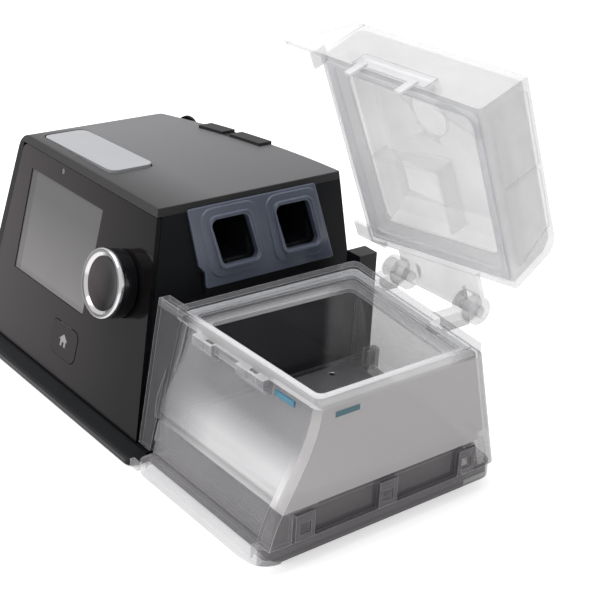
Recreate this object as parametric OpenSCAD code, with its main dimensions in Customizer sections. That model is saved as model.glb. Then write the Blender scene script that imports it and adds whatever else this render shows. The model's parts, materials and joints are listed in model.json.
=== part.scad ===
// Bedside air machine with a heated water tank on its right side.
// X runs to the right, Y to the back and Z up. The origin is on the table, under the middle of the base.
// The lid of the tank is drawn standing open. Its pieces are modelled shut and then turned on the hinge.

/* [Machine] */
// Height of the top above the table
case_h = 110; // [104:1:118]
// Width of the machine at its foot, without the tank
machine_w = 164; // [158:1:172]
// Depth of the machine at its foot, from the front panel to the middle of the back
case_d = 137; // [133:1:143]
// Backward lean of the front panel
front_lean = 13.44; // [12:0.1:15]
// Inward lean of the side that faces the tank
side_lean = 11.27; // [10:0.1:12]
// Wall thickness of the black housing
wall = 2.6; // [2:0.1:3.2]

/* [Controls] */
// Width of the display window
screen_w = 71.5; // [66:0.5:74]
// Height of the display window, up the slope of the panel
screen_h = 53.6; // [50:0.5:55]
// Diameter of the dial
dial_d = 33.6; // [30:0.2:35]
// How far the dial stands out of the panel
dial_out = 11.6; // [9:0.2:14]
// Width of the home button
home_w = 25.4; // [22:0.2:27]
// Height of the home button, up the slope of the panel
home_h = 16.8; // [14:0.2:18]
// Travel of the home button
home_travel = 1; // [0.6:0.1:1.4]
// Length of the start button on the top
start_w = 70; // [62:1:74]
// Depth of the start button
start_d = 24; // [21:0.5:26]

/* [Tank] */
// Width of the tank at its rim
tank_w = 101.5; // [98:0.5:105]
// Height of the tank's rim above the table
rim_z = 76; // [73:0.5:79]
// Wall thickness of the clear mouldings
clear_t = 2.2; // [1.8:0.1:2.6]
// Height of the lid
lid_h = 29; // [26:0.5:30]
// How far the lid stands open
lid_open = 68.3; // [60:0.1:72]
// Radius of the round hinge ears
ear_r = 6.6; // [6:0.1:7]
// Radius of the hinge pins
pin_r = 2.6; // [2.2:0.1:3]

/* [Inside] */
// Radius of the blower's impeller
impeller_r = 27; // [24:0.5:28]
// Radius of the heater plate under the tank
heater_r = 34; // [30:0.5:36]
// Gap round moving pieces
gap = 0.3; // [0.25:0.05:0.4]

/* [Hidden] */
$fn = 64;
far = 400;

// Heights
foot_gap = 0.8;
lip_z = 3.6;
base_z = 6;
dock_z = 5.6;
cover_t = 4;
cover_z = case_h - cover_t;
// Places across and along
joint_x = 24.5;
left_x = joint_x - machine_w;
front_y = -64;
back_mid = front_y + case_d;
lip_out = 7.4;
dock_gap = 8.5;
tank_x = joint_x + dock_gap;
tank_r = tank_x + tank_w;
dock_r = tank_r - 6;
front_slope = tan(front_lean);
side_slope = tan(side_lean);
left_lean = 5.43;
left_slope = tan(left_lean);
corner_r = 8;
// The back is an arc in plan, a little larger at the foot
arc_x = 7;
arc_r = 365;
arc_y = back_mid - arc_r;
arc_top = 5;
dock_arc = 6;
panel_t = 2.6;
panel_margin = 4.4;

function left_at(z) = left_x + left_slope * z;
function right_at(z) = joint_x - side_slope * z;
function front_at(z) = front_y + front_slope * z;
function back_r(z) = arc_r - arc_top * z / case_h;
function back_at(x, z) = arc_y + sqrt(pow(back_r(z), 2) - pow(x - arc_x, 2));

// A polygon's points with every corner rounded
function unit(v) = v / norm(v);
function turn_to(a, b) = let (d = b - a) d > 180 ? d - 360 : d < -180 ? d + 360 : d;
function corner(a, v, b, r, n) =
    let (u = unit(a - v), w = unit(b - v), half = acos(u * w) / 2, c = v + unit(u + w) * r / sin(half),
        p = v + u * r / tan(half) - c, q = v + w * r / tan(half) - c,
        start = atan2(p[1], p[0]), sweep = turn_to(start, atan2(q[1], q[0])))
    [for (k = [0:n]) c + r * [cos(start + sweep * k / n), sin(start + sweep * k / n)]];
function rounded(pts, r, n = 5) = let (m = len(pts))
    [for (i = [0:m - 1]) each corner(pts[(i + m - 1) % m], pts[i], pts[(i + 1) % m], r, n)];
function box_pts(x0, y0, x1, y1) = [[x0, y0], [x1, y0], [x1, y1], [x0, y1]];
function mix(a, b, t) = [for (i = [0:len(a) - 1]) a[i] + (b[i] - a[i]) * t];

module rounded_box(x0, y0, z0, x1, y1, z1, r)
    translate([0, 0, z0]) linear_extrude(z1 - z0) polygon(rounded(box_pts(x0, y0, x1, y1), r));

module block(x0, y0, z0, x1, y1, z1) translate([x0, y0, z0]) cube([x1 - x0, y1 - y0, z1 - z0]);

// A side view in Y and Z, drawn out along X
module along_x(x0, x1) translate([x0, 0, 0]) rotate([90, 0, 90]) linear_extrude(x1 - x0) children();

// A front view in X and Z, drawn out along Y
module along_y(y0, y1) translate([0, y1, 0]) rotate([90, 0, 0]) linear_extrude(y1 - y0) children();

// Places on the leaning faces: X along the face, Y up its slope, Z out of it
module on_front() translate([0, front_y, 0]) rotate([90 - front_lean, 0, 0]) children();
module on_side() translate([joint_x, 0, 0]) rotate([0, -side_lean, 0]) rotate([90, 0, 90]) children();
module on_left() translate([left_x, 0, 0]) rotate([0, left_lean, 0]) rotate([90, 0, -90]) children();
// On the curved back: X along it, Y out of it, Z up
module on_back(x, z) translate([arc_x, arc_y, z]) rotate([0, 0, asin((arc_x - x) / back_r(z))])
    translate([0, back_r(z), 0]) children();

// The machine's whole outer form between two heights, drawn in by a wall
module machine_form(z0, z1, inset = 0, front_inset = 0) intersection() {
    along_y(-far, far) polygon(concat(
        [[left_at(0) + inset, 0], [right_at(0) - inset, 0], [right_at(case_h) - inset, case_h - inset]],
        [for (a = [90:7:174]) [left_at(case_h - corner_r) + corner_r, case_h - corner_r]
            + (corner_r - inset) * [cos(a), sin(a)]]));
    along_x(-far, far) polygon([[front_at(z0) + front_inset, z0], [far, z0], [far, z1],
        [front_at(z1) + front_inset, z1]]);
    translate([arc_x, arc_y, z0]) cylinder(h = z1 - z0, r1 = back_r(z0) - inset, r2 = back_r(z1) - inset,
        $fn = 240);
}

// ---- Base and housing ----

heater_x = tank_x + 49;
heater_y = -5;
foot_r = 6.5;
foot_h = 2;
platform_z = 22.4;
platform_y0 = -52.5;
platform_back = 5;
heater_z = platform_z - 3;
heater_lift = 1.6;
stem_r = 5;
stem_foot = 12;
feet = [[left_x + 17, front_y + 12], [left_x + 22, back_mid - 45], [dock_r - 14, front_y + 18],
    [dock_r - 20, back_mid - 49]];
post_r = 4.4;
screw_r = 1.3;
screw_x = [left_x + 8, left_x + 9, joint_x - 8, joint_x - 9];
screw_y = [front_y + 20, back_mid - 53, front_y + 22, back_mid - 23];
post_top = 20;
rear_block_x = tank_x + 1.4;
rear_block_y = 57.5;
rear_block_z = rim_z + 1.4;

// Plan of the platform, inside the back line of the tank
function platform_pts(in = 0) = [[joint_x + 0.2 + in, platform_y0 + in], [dock_r - 1 - in, platform_y0 + in],
    [dock_r - 1 - in, back_right + platform_back - in],
    [joint_x + 0.2 + in, back_left + platform_back - 6 - in]];

module base_pan() color("#17181b") difference() {
    union() {
        intersection() {
            translate([0, 0, foot_gap]) linear_extrude(base_z - foot_gap)
                polygon(rounded(box_pts(left_x, front_y - lip_out, joint_x + 8, case_d), 5));
            along_x(-far, far) polygon([[front_y - lip_out, 0], [front_y - lip_out, lip_z],
                [front_y - lip_out + 1, lip_z + 0.7], [front_y + 1, base_z - 0.8], [front_y + 1, base_z],
                [far, base_z], [far, 0]]);
            translate([arc_x, arc_y, 0]) cylinder(h = base_z, r = arc_r, $fn = 240);
        }
        // dock that the tank stands on
        intersection() {
            rounded_box(joint_x - 6, front_y + 3, foot_gap, dock_r, case_d, dock_z, 5);
            translate([arc_x, arc_y, 0]) cylinder(h = base_z, r = arc_r - dock_arc, $fn = 240);
        }
        // platform under the tank, which carries the heater
        plan(dock_z - 1, platform_z, platform_pts(), 6);
        // shoulder behind the tank's back left corner
        intersection() {
            block(joint_x, rear_block_y, foot_gap, rear_block_x, case_d, rear_block_z);
            translate([arc_x, arc_y, foot_gap]) cylinder(h = rear_block_z, r = arc_r - 3.5, $fn = 240);
        }
    }
    // hollow over the floor of the machine
    intersection() {
        machine_form(base_z - 2.8, base_z + 1, wall + 0.6, 3);
        block(-far, -far, 0, joint_x - 4, far, base_z + 1);
    }
    translate([heater_x, heater_y, heater_z]) cylinder(h = 6, r = heater_r + 1, $fn = 96);
    translate([heater_x, heater_y, stem_foot - 2]) cylinder(h = platform_z, r = stem_r + run_fit);
    // hollow inside the platform, round the stem's guide, with a way through for the heater's wires
    difference() {
        plan(base_z - 2.8, heater_z - 2.4, platform_pts(wall), 4);
        translate([heater_x, heater_y, 0]) cylinder(h = platform_z, r = stem_r + 3);
    }
    block(joint_x - 8, -20, base_z - 2.8, joint_x + 6, 20, base_z - 1.2);
    for (p = feet) translate([p[0], p[1], 0]) cylinder(h = foot_h, r = foot_r + 0.1);
    for (i = [0:3]) translate([screw_x[i], screw_y[i], 0]) {
        cylinder(h = 9, r = screw_r + 0.2);
        cylinder(h = foot_gap + 1.4, r = 3.1);
    }
}

port_z0 = rim_z + 2.4;
port_z1 = cover_z - 5.8;
port_slant = 5.2;
port_1 = [-7.2, 13.7];
port_2 = [29.9, 50];
slope_up = 1 / cos(side_lean);
// A port's outline on the leaning side, drawn out by a margin
function port_pts(y, m) = [[y[0] - m, port_z0 * slope_up - m], [y[1] + m, port_z0 * slope_up - m],
    [y[1] - port_slant + m, port_z1 * slope_up + m], [y[0] - port_slant - m, port_z1 * slope_up + m]];

card_y = -8;
card_v = 34;
card_w = 30;
card_h = 13;
outlet_x = joint_x - 58.5;
outlet_z = 53;
outlet_r = 11;
outlet_bore_r = outlet_r - 3.2;
cup_r = 19.5;
cup_deep = 17;
inlet_x = joint_x - 18.5;
inlet_z = 19;
inlet_half = 7.2;
filter_x = left_x + 31.5;
filter_z = case_h - 26;
filter_w = 26;
filter_h = 34;
filter_in = 8.4;
rear_open = back_mid - 43;

module main_shell() color("#1a1b1f") difference() {
    union() {
        difference() {
            machine_form(base_z, cover_z, 0, panel_t + 0.1);
            machine_form(base_z - 1, cover_z + 1, wall, -20);
        }
        // dark strip beside the panel
        intersection() {
            machine_form(base_z, cover_z, 0, 0);
            along_y(-far, far) polygon([[left_x - 1, 0], [left_x + panel_margin, 0],
                [left_at(cover_z) + panel_margin, cover_z], [left_x - 1, cover_z]]);
            along_x(-far, far) polygon([[front_y - 1, 0], [front_y + 9, 0],
                [front_at(cover_z) + 9, cover_z], [front_y - 1, cover_z]]);
        }
        // posts for the base screws
        intersection() {
            machine_form(base_z, post_top, 0.5, 4);
            for (i = [0:3]) translate([screw_x[i], screw_y[i], base_z]) {
                cylinder(h = post_top - base_z, r = post_r);
                translate([i < 2 ? -8 : 0, -2, 0]) cube([8, 4, post_top - base_z]);
            }
        }
        // pocket that holds the air filter
        intersection() {
            machine_form(base_z, cover_z, 0.5);
            on_back(filter_x, filter_z) block(-filter_w / 2 - 1.6, -filter_in - 1.6, -filter_h / 2 - 1.6,
                filter_w / 2 + 1.6, 0, filter_h / 2 + 1.6);
        }
    }
    for (i = [0:3]) translate([screw_x[i], screw_y[i], base_z - 1]) cylinder(h = 11, r = screw_r);
    on_side() for (y = [port_1, port_2]) translate([0, 0, -8]) linear_extrude(16)
        polygon(rounded(port_pts(y, 0.6), 3));
    // low notch in front of the seal
    on_side() translate([port_1[0] - 19.3, (rim_z - 10) * slope_up, -1.2]) cube([9, 11, 3]);
    translate([outlet_x, rear_open, outlet_z]) rotate([-90, 0, 0]) cylinder(h = 60, r = cup_r, $fn = 96);
    on_back(filter_x, filter_z) {
        block(-filter_w / 2, -filter_in, -filter_h / 2, filter_w / 2, 8, filter_h / 2);
        block(-filter_w / 2 + 3, -filter_in - 4, -filter_h / 2 + 3, filter_w / 2 - 3, 0, filter_h / 2 - 3);
        translate([0, -filter_pin_in, -filter_h / 2 + filter_pin_up]) rotate([0, 90, 0])
            cylinder(h = filter_w + 8, r = door_pin_r, center = true);
    }
    block(inlet_x - inlet_half, rear_open, inlet_z - inlet_half, inlet_x + inlet_half, case_d,
        inlet_z + inlet_half);
    // card bay in the left side
    on_left() translate([-card_y - card_w / 2, card_v, -8]) cube([card_w, card_h, 10]);
    on_left() translate([-card_y, card_v - hinge_drop, -hinge_in]) rotate([0, 90, 0])
        cylinder(h = card_w + 8, r = door_pin_r, center = true);
}

start_x = left_x + 20.9;
start_y = front_y + 32.6;
start_rise = 1.4;
ridge_x0 = left_x + 49.5;
ridge_x1 = left_x + 91.5;
ridge_h = 1.8;
button_pin_r = 1.4;
button_pin_x = start_x + 5;
button_pin_z = case_h - 3.4;
lug_t = 2.4;

module top_cover() color("#77777a") difference() {
    union() {
        machine_form(cover_z, case_h);
        // low ridge along the back edge
        intersection() {
            block(ridge_x0, 0, case_h - 1, ridge_x1, case_d, case_h + ridge_h);
            translate([arc_x, arc_y, 0]) difference() {
                cylinder(h = case_h + ridge_h, r = back_r(case_h), $fn = 240);
                cylinder(h = case_h + ridge_h + 1, r = back_r(case_h) - 8, $fn = 240);
            }
        }
        for (y = [start_y - 0.9 - lug_t, start_y + start_d + 0.9])
            block(button_pin_x - 4, y, cover_z - 3, button_pin_x + 4, y + lug_t, cover_z + 0.5);
    }
    rounded_box(start_x - 0.6, start_y - 0.6, cover_z - 1, start_x + start_w + 0.6, start_y + start_d + 0.6,
        case_h + 1, 5);
    translate([button_pin_x, start_y + start_d / 2, button_pin_z]) rotate([90, 0, 0])
        cylinder(h = start_d + 4 * lug_t, r = button_pin_r, center = true);
    block(ridge_x0 + 16, back_mid - 33, case_h + 0.4, ridge_x0 + 21, far, case_h + 4);
}

// The start button's plate rises a little to its right end, where a thumb presses it
module start_button() color("#9a9ba0") difference() {
    union() {
        intersection() {
            rounded_box(start_x, start_y, cover_z + 1, start_x + start_w, start_y + start_d, case_h + 4, 4.6);
            along_y(-far, far) polygon([[start_x, cover_z + 1.4], [start_x + start_w, cover_z + 2.4],
                [start_x + start_w, case_h + start_rise], [start_x + 8, case_h + 0.2],
                [start_x, case_h - 0.2]]);
        }
        translate([button_pin_x, start_y + start_d / 2, button_pin_z]) rotate([90, 0, 0])
            cylinder(h = start_d - 1, r = 2.8, center = true);
    }
    translate([button_pin_x, start_y + start_d / 2, button_pin_z]) rotate([90, 0, 0])
        cylinder(h = start_d + 2, r = button_pin_r + 0.05, center = true);
}

module start_button_pin() color("silver")
    translate([button_pin_x, start_y + start_d / 2, button_pin_z]) rotate([90, 0, 0])
        cylinder(h = start_d + 2 * lug_t + 1.8, r = button_pin_r, center = true);

// ---- Front panel and controls, drawn on the leaning front ----

up = 1 / cos(front_lean);
panel_lo = base_z * up + panel_t * front_slope + 0.1;
panel_hi = cover_z * up - 0.2;
screen_x = left_x + 27.1;
screen_v = panel_hi - 63.8;
dial_x = joint_x - 38.8;
dial_v = screen_v + 26.2;
dial_r = dial_d / 2;
home_x = left_x + 74.1;
home_v = 18.3;
sensor_x = left_x + 56.9;
sensor_v = panel_hi - 3.2;
sensor_r = 1.5;
bushing_r = 4.4;

module panel_outline() polygon(concat(
    [[left_at(base_z) + panel_margin + 0.1, panel_lo], [right_at(base_z) - 0.1, panel_lo],
        [right_at(cover_z) - 0.1, panel_hi]],
    [for (a = [90:15:180]) [left_at(cover_z - 4) + panel_margin + 4.6, panel_hi - 4.5] + 4.5 * [cos(a),
    sin(a)]]));

module front_panel() color("#3a3537") on_front() difference() {
    translate([0, 0, -panel_t]) linear_extrude(panel_t) panel_outline();
    translate([screen_x, screen_v, -panel_t - 1]) cube([screen_w, screen_h, panel_t + 2]);
    translate([sensor_x, sensor_v, 0]) cylinder(h = 3 * panel_t, r = sensor_r, center = true);
    translate([dial_x, dial_v, 0]) cylinder(h = 3 * panel_t, r = bushing_r + 0.1, center = true);
    translate([0, 0, -panel_t - 1]) linear_extrude(panel_t + 2)
        polygon(rounded(box_pts(home_x - gap, home_v - gap, home_x + home_w + gap, home_v + home_h + gap),
        4.3));
}

module screen_lens() color("#6f6e70") on_front()
    translate([screen_x, screen_v, -panel_t]) cube([screen_w, screen_h, panel_t - 0.5]);

module display_module() color("#2a2b2f") on_front() {
    translate([screen_x - 2, screen_v - 2, -panel_t - 4.5]) cube([screen_w + 4, screen_h + 4, 4.5]);
}

module light_sensor() color("#141416") on_front()
    translate([sensor_x, sensor_v, -panel_t - 2]) cylinder(h = panel_t + 1.8, r = sensor_r);

// A little house cut into the button shows what it does
module home_button() color("#453f41") on_front() difference() {
    union() {
        translate([0, 0, -panel_t - 0.6]) linear_extrude(panel_t + 0.9)
            polygon(rounded(box_pts(home_x, home_v, home_x + home_w, home_v + home_h), 4));
        translate([0, 0, -panel_t - 2]) linear_extrude(1.8)
            polygon(rounded(box_pts(home_x - 1.6, home_v - 1.6, home_x + home_w + 1.6,
            home_v + home_h + 1.6), 4));
    }
    translate([home_x + home_w / 2, home_v + home_h / 2 - 0.4, 0.1]) linear_extrude(1) difference() {
        polygon([[-2.6, -2.6], [2.6, -2.6], [2.6, 0.6], [4, 0.6], [0, 4], [-4, 0.6], [-2.6, 0.6]]);
        polygon([[-0.8, -3], [0.8, -3], [0.8, -0.4], [-0.8, -0.4]]);
    }
}

board_n = 15;
board_rise = 9;
board_t = 1.6;
home_foot = panel_t + 2;

// Dome switch that the home button presses
module home_switch() color("silver") on_front()
    translate([home_x + home_w / 2, home_v + home_h / 2, -board_n]) {
        translate([-5, -5, 0]) cube([10, 10, 6]);
        cylinder(h = board_n - home_foot - home_travel - 0.3, r = 3);
    }

ring_w = 3.9;
ring_h = 3.2;
knob_lift = 0.9;
face_r = dial_r - ring_w;

module on_dial() on_front() translate([dial_x, dial_v, 0]) children();

// Dial: black body, bright ring and dished face on one shaft
module knob_body() color("#0d0e10") on_dial() difference() {
    rotate_extrude($fn = 96) polygon([[0, knob_lift], [dial_r - 0.6, knob_lift],
        [dial_r - 0.3, knob_lift + 0.4],
        [dial_r - 0.3, dial_out - ring_h], [0, dial_out - ring_h]]);
    translate([0, 0, -1]) cylinder(h = dial_out - ring_h - 0.6, r = shaft_r);
}

module knob_ring() color("#d8d8da") on_dial() rotate_extrude($fn = 96)
    polygon([[face_r + 0.02, dial_out - ring_h],
    [dial_r - 0.3, dial_out - ring_h], [dial_r, dial_out - ring_h + 0.4], [dial_r, dial_out - 0.9],
    [dial_r - 0.9, dial_out], [dial_r - 1.8, dial_out - 0.1], [face_r + 0.02, dial_out - 1.6]]);

module knob_face() color("#2b2729") on_dial() rotate_extrude($fn = 96) polygon([[0, dial_out - ring_h],
    [face_r, dial_out - ring_h], [face_r, dial_out - 1.6], [face_r * 0.6, dial_out - 2.3],
    [0, dial_out - 2.6]]);

shaft_r = 3;
sleeve_r = 3.9;
run_fit = 0.05;

module encoder_shaft() color("silver") on_dial() {
    translate([0, 0, -board_n + 5.5]) cylinder(h = board_n - 5.5 + dial_out - ring_h - 1.7, r = shaft_r);
    translate([0, 0, -board_n + 4.5]) cylinder(h = 1, r = shaft_r);
}

// Sleeve that carries the shaft and slides in when the dial is pressed
module encoder_sleeve() color("#c9c9cc") on_dial() difference() {
    translate([0, 0, -board_n + 5.8]) cylinder(h = board_n - 5.8 + 0.1, r = sleeve_r);
    translate([0, 0, -board_n + 4]) cylinder(h = board_n, r = shaft_r + run_fit);
}

module encoder_body() color("#55575c") on_dial() difference() {
    union() {
        translate([-7.5, -7.5, -board_n]) cube([15, 15, board_n - panel_t - 1]);
        translate([0, 0, -board_n]) cylinder(h = board_n, r = bushing_r + 0.1);
    }
    translate([0, 0, -board_n + 4]) cylinder(h = board_n, r = sleeve_r + run_fit);
    translate([0, 0, -board_n + 3]) cylinder(h = 3, r = shaft_r + 0.6);
}

module main_board() color("#1f6b3c") on_front()
    translate([screen_x, home_v - 4, -board_n - board_t])
    cube([dial_x - screen_x + 10, dial_v - home_v + board_rise, board_t]);

// ---- Air path ----

seal_t = 1.6;
lip_h = 2.6;
lip_w = 2;
swell_w = 5.6;
swell_h = 1;
seal_z0 = rim_z - 7;
seal_z1 = cover_z + 1;

// The pad's outline, with a step in its front edge
function seal_pts() = [[port_1[0] - 12.6, (rim_z + 4) * slope_up], [port_1[0] - 9.4, (rim_z + 0.5) * slope_up],
    [port_1[0] - 9.6, seal_z0 * slope_up], [port_2[1] + 9.6, seal_z0 * slope_up],
    [port_2[1] + 1, seal_z1 * slope_up], [port_1[0] - 16, seal_z1 * slope_up]];

// Soft pad over the two ports, with a raised lip round each
module port_seal() color("#5d6579") on_side() difference() {
    union() {
        linear_extrude(seal_t) polygon(rounded(seal_pts(), 1.2));
        for (y = [port_1, port_2]) {
            linear_extrude(seal_t + lip_h) polygon(rounded(port_pts(y, lip_w), 4));
            linear_extrude(seal_t + swell_h) polygon(rounded(port_pts(y, swell_w), 6));
        }
    }
    for (y = [port_1, port_2]) translate([0, 0, -1]) linear_extrude(10) polygon(rounded(port_pts(y, 0), 3));
    for (y = [port_1, port_2]) translate([0, 0, seal_t + lip_h - 0.8]) linear_extrude(2)
        polygon(rounded(port_pts(y, 0.8), 3));
}

duct_x0 = joint_x - 60.5;
duct_t = 2;

// Twin box behind the ports: one way from the blower, one way to the outlet
module duct_box() color("#101114") difference() {
    intersection() {
        machine_form(port_z0 - 4, cover_z, wall, 20);
        block(duct_x0, port_1[0] - port_slant - 4, port_z0 - 4, joint_x, port_2[1] + 3, port_z1 + 3);
    }
    for (y = [port_1, port_2])
        block(duct_x0 + (y == port_2 ? duct_t : -1), y[0] - port_slant / 2, port_z0 + 0.5, joint_x,
            y[1] - port_slant / 2, port_z1 - 0.5);
    // way down to the outlet
    block(duct_x0 + duct_t, port_2[0] - port_slant / 2, port_z0 - 5, duct_x0 + 16, port_2[1] - port_slant / 2,
        port_z0 + 1);
}

blower_x = duct_x0 - 38;
blower_y = front_y + case_d / 2 + 5.5;
blower_h = 40.5;
blower_z1 = cover_z - 3.5;
blower_z0 = blower_z1 - blower_h;
blower_r = impeller_r + 6;
motor_r = 11;
motor_h = 15;
motor_shaft_r = 1.5;
impeller_z0 = blower_z0 + 20;

module blower_housing() color("#3b3d42") difference() {
    union() {
        translate([blower_x, blower_y, blower_z0]) cylinder(h = blower_z1 - blower_z0, r = blower_r);
        block(blower_x, port_1[0] - port_slant / 2 - 2, port_z0 - 1.5, duct_x0, port_1[1] - port_slant / 2 + 2,
            port_z1 + 1.5);
    }
    translate([blower_x, blower_y, impeller_z0 - 3.5])
        cylinder(h = blower_z1 - impeller_z0, r = impeller_r + 3);
    block(blower_x + 20, port_1[0] - port_slant / 2, port_z0 + 0.5, duct_x0 + 1, port_1[1] - port_slant / 2,
        port_z1 - 0.5);
    translate([blower_x, blower_y, blower_z0 - 1]) cylinder(h = blower_h, r = motor_r);
    translate([blower_x, blower_y, blower_z1 - 5]) cylinder(h = 6, r = 12);
}

module blower_motor() color("#8d9096") translate([blower_x, blower_y, 0]) {
    translate([0, 0, blower_z0]) cylinder(h = motor_h, r = motor_r);
    translate([0, 0, blower_z0 + motor_h - 1]) cylinder(h = impeller_z0 - blower_z0 - 7.2, r = motor_shaft_r);
}

blade_count = 11;

module impeller() color("#d9dadd") translate([blower_x, blower_y, impeller_z0]) difference() {
    union() {
        cylinder(h = 1.4, r = impeller_r);
        cylinder(h = 9, r = 5);
        for (i = [0:blade_count - 1]) rotate(i * 360 / blade_count) translate([4, -0.6, 0]) rotate(12)
            cube([impeller_r - 6, 1.2, 11]);
    }
    translate([0, 0, -1]) cylinder(h = 8.2, r = motor_shaft_r + run_fit);
}

silencer_x0 = left_x + 33.5;
silencer_back = blower_y + 30;
silencer_bore = 9;

// Foam block that the air goes through on its way to the blower
module silencer_block() color("#4b4d52") difference() {
    block(silencer_x0, blower_y - 34, base_z - 2.8, blower_x + 28, silencer_back, blower_z0);
    translate([silencer_x0 + 16, silencer_back + 1, blower_z0 - 14]) rotate([90, 0, 0])
        cylinder(h = 30, r = silencer_bore);
}

module outlet_cup() color("#141518") difference() {
    translate([outlet_x, 0, outlet_z]) rotate([-90, 0, 0]) difference() {
        translate([0, 0, back_at(outlet_x, outlet_z) - cup_deep - 3]) cylinder(h = 60, r = cup_r, $fn = 96);
        translate([0, 0, back_at(outlet_x, outlet_z) - cup_deep]) cylinder(h = 60, r = cup_r - 2, $fn = 96);
        cylinder(h = far, r = outlet_bore_r);
    }
    difference() {
        block(-far, 0, 0, far, far, far);
        translate([arc_x, arc_y, 0]) cylinder(h = case_h, r1 = back_r(0), r2 = back_r(case_h), $fn = 240);
    }
}

// Hose connector, a 22 mm cone
module air_outlet() color("#222326")
    translate([outlet_x, back_at(outlet_x, outlet_z) - cup_deep, outlet_z]) rotate([-90, 0, 0]) difference() {
        union() {
            cylinder(h = cup_deep + 1, r = outlet_r);
            cylinder(h = 3, r = outlet_r + 2);
        }
        translate([0, 0, -1]) cylinder(h = cup_deep + 3, r = outlet_bore_r);
    }

jack_r = 3.2;

module power_inlet() color("#0c0c0d") {
    difference() {
        block(inlet_x - inlet_half, back_at(inlet_x, inlet_z) - 14, inlet_z - inlet_half,
            inlet_x + inlet_half, back_at(inlet_x, inlet_z) - 0.6, inlet_z + inlet_half);
        translate([inlet_x, back_at(inlet_x, inlet_z) - 11, inlet_z]) rotate([-90, 0, 0])
            cylinder(h = 20, r = jack_r);
    }
    translate([inlet_x, back_at(inlet_x, inlet_z) - 12, inlet_z]) rotate([-90, 0, 0]) cylinder(h = 9, r = 1);
}

tab_r = 6.2;
filter_pin_in = 1.2;
filter_pin_up = 2;

module on_filter_pin() on_back(filter_x, filter_z) translate([0, -filter_pin_in, -filter_h / 2 + filter_pin_up])
    rotate([0, 90, 0]) children();

// Grille over the air filter, hinged along its foot, with a thumb tab that stands above the back edge
module filter_cover() color("#0f1013") difference() {
    union() {
        on_back(filter_x, filter_z) {
            block(-filter_w / 2 + gap, -2.2, -filter_h / 2 + filter_pin_up, filter_w / 2 - gap, 0.8,
                filter_h / 2 - gap);
            block(-tab_r, 0.4, filter_h / 2 - 6, tab_r, 2.4, case_h - filter_z + 1.2 - tab_r);
            translate([0, 2.4, case_h - filter_z + 1.2 - tab_r]) rotate([90, 0, 0]) cylinder(h = 2, r = tab_r);
        }
        on_filter_pin() cylinder(h = filter_w - 2 * gap, r = 1.7, center = true);
    }
    on_filter_pin() cylinder(h = filter_w + 2, r = door_pin_r + run_fit, center = true);
    on_back(filter_x, filter_z) for (k = [-2:2]) block(-9.6, -9, k * 5 - 0.1, 9.6, 9, k * 5 + 2);
}

module filter_pin() color("silver") on_filter_pin() cylinder(h = filter_w + 7, r = door_pin_r, center = true);

module air_filter() color("#d7d9dc") on_back(filter_x, filter_z)
    block(-filter_w / 2 + 0.4, -filter_in, -filter_h / 2, filter_w / 2 - 0.4, 1.8 - filter_in + 3.4,
    filter_h / 2 - 0.4);

hinge_in = 1.5;
hinge_drop = -1.6;
door_pin_r = 0.9;

module card_slot() color("#2d2f33") on_left() difference() {
    translate([-card_y - card_w / 2 - 2, card_v - 2, -26])
        cube([card_w + 4, card_h + 4, 26 - wall * cos(left_lean)]);
    translate([-card_y - card_w / 2, card_v, -6]) cube([card_w, card_h, 10]);
    translate([-card_y - 12, card_v + 6, -24]) cube([24, 2.4, 40]);
}

// Flap over the card bay, turning on a pin along its lower edge
module card_door() color("#1d1e22") on_left() difference() {
    union() {
        translate([-card_y - card_w / 2 + gap, card_v - hinge_drop, -2.2]) cube([card_w - 2 * gap,
            card_h + hinge_drop - gap, 2]);
        translate([-card_y, card_v - hinge_drop, -hinge_in]) rotate([0, 90, 0])
            cylinder(h = card_w - 2 * gap, r = 1.4, center = true);
    }
    translate([-card_y, card_v - hinge_drop, -hinge_in]) rotate([0, 90, 0])
        cylinder(h = card_w + 2, r = door_pin_r + run_fit, center = true);
}

module card_door_pin() color("silver") on_left() translate([-card_y, card_v - hinge_drop, -hinge_in])
    rotate([0, 90, 0]) cylinder(h = card_w + 7, r = door_pin_r, center = true);

module heater_pad() color("#5a2f2a") translate([heater_x, heater_y, heater_z]) difference() {
    cylinder(h = 0.6, r = heater_r - 2);
    translate([0, 0, -1]) cylinder(h = 4, r = heater_r - 12);
}

// Sprung plate, guided by a stem in the base
module heater_plate() color("#b9bcc0") translate([heater_x, heater_y, 0]) {
    translate([0, 0, heater_z + heater_lift]) cylinder(h = tub_floor - 0.15 - heater_z - heater_lift,
        r = heater_r, $fn = 96);
    translate([0, 0, stem_foot]) cylinder(h = heater_z + heater_lift - stem_foot + 0.5, r = stem_r);
}

module foot(i) color("#2a2a2c") translate([feet[i][0], feet[i][1], 0]) cylinder(h = foot_h, r = foot_r);

module base_screw(i) color("silver") translate([screw_x[i], screw_y[i], foot_gap + 0.2]) difference() {
    union() {
        cylinder(h = 1.2, r = 2.8);
        cylinder(h = 13, r = screw_r);
    }
    for (a = [0, 90]) rotate(a) translate([-1.6, -0.35, -1]) cube([3.2, 0.7, 1.6]);
}

// ---- Tank ----

floor_t = 1.8;
tub_z = dock_z + 0.05 + floor_t;
tub_floor = platform_z + 0.4;
shelf_z = 28.5;
front_shelf_z = 24.5;
shelf_in = 2.6;
seam_z = 13;
rim_t = 5;
clip_top = rim_z - rim_t;
rim_front = -48.2;
back_left = 55.5;
back_right = 42.2;
back_slope = 0.257;
back_lean = atan(back_slope);
back_skew = atan((back_left - back_right) / (tank_w - 1));
band_left = 17;
band_back = 15.5;
band_front = 6.8;
band_right = 7.4;
swing = 13;
pillar_swing = 24;
pillar_foot = 4;
pillar_w = 8.6;
pillar_t = 5;
pillar_back = front_y + 6.4;
fold_n = 14;

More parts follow.
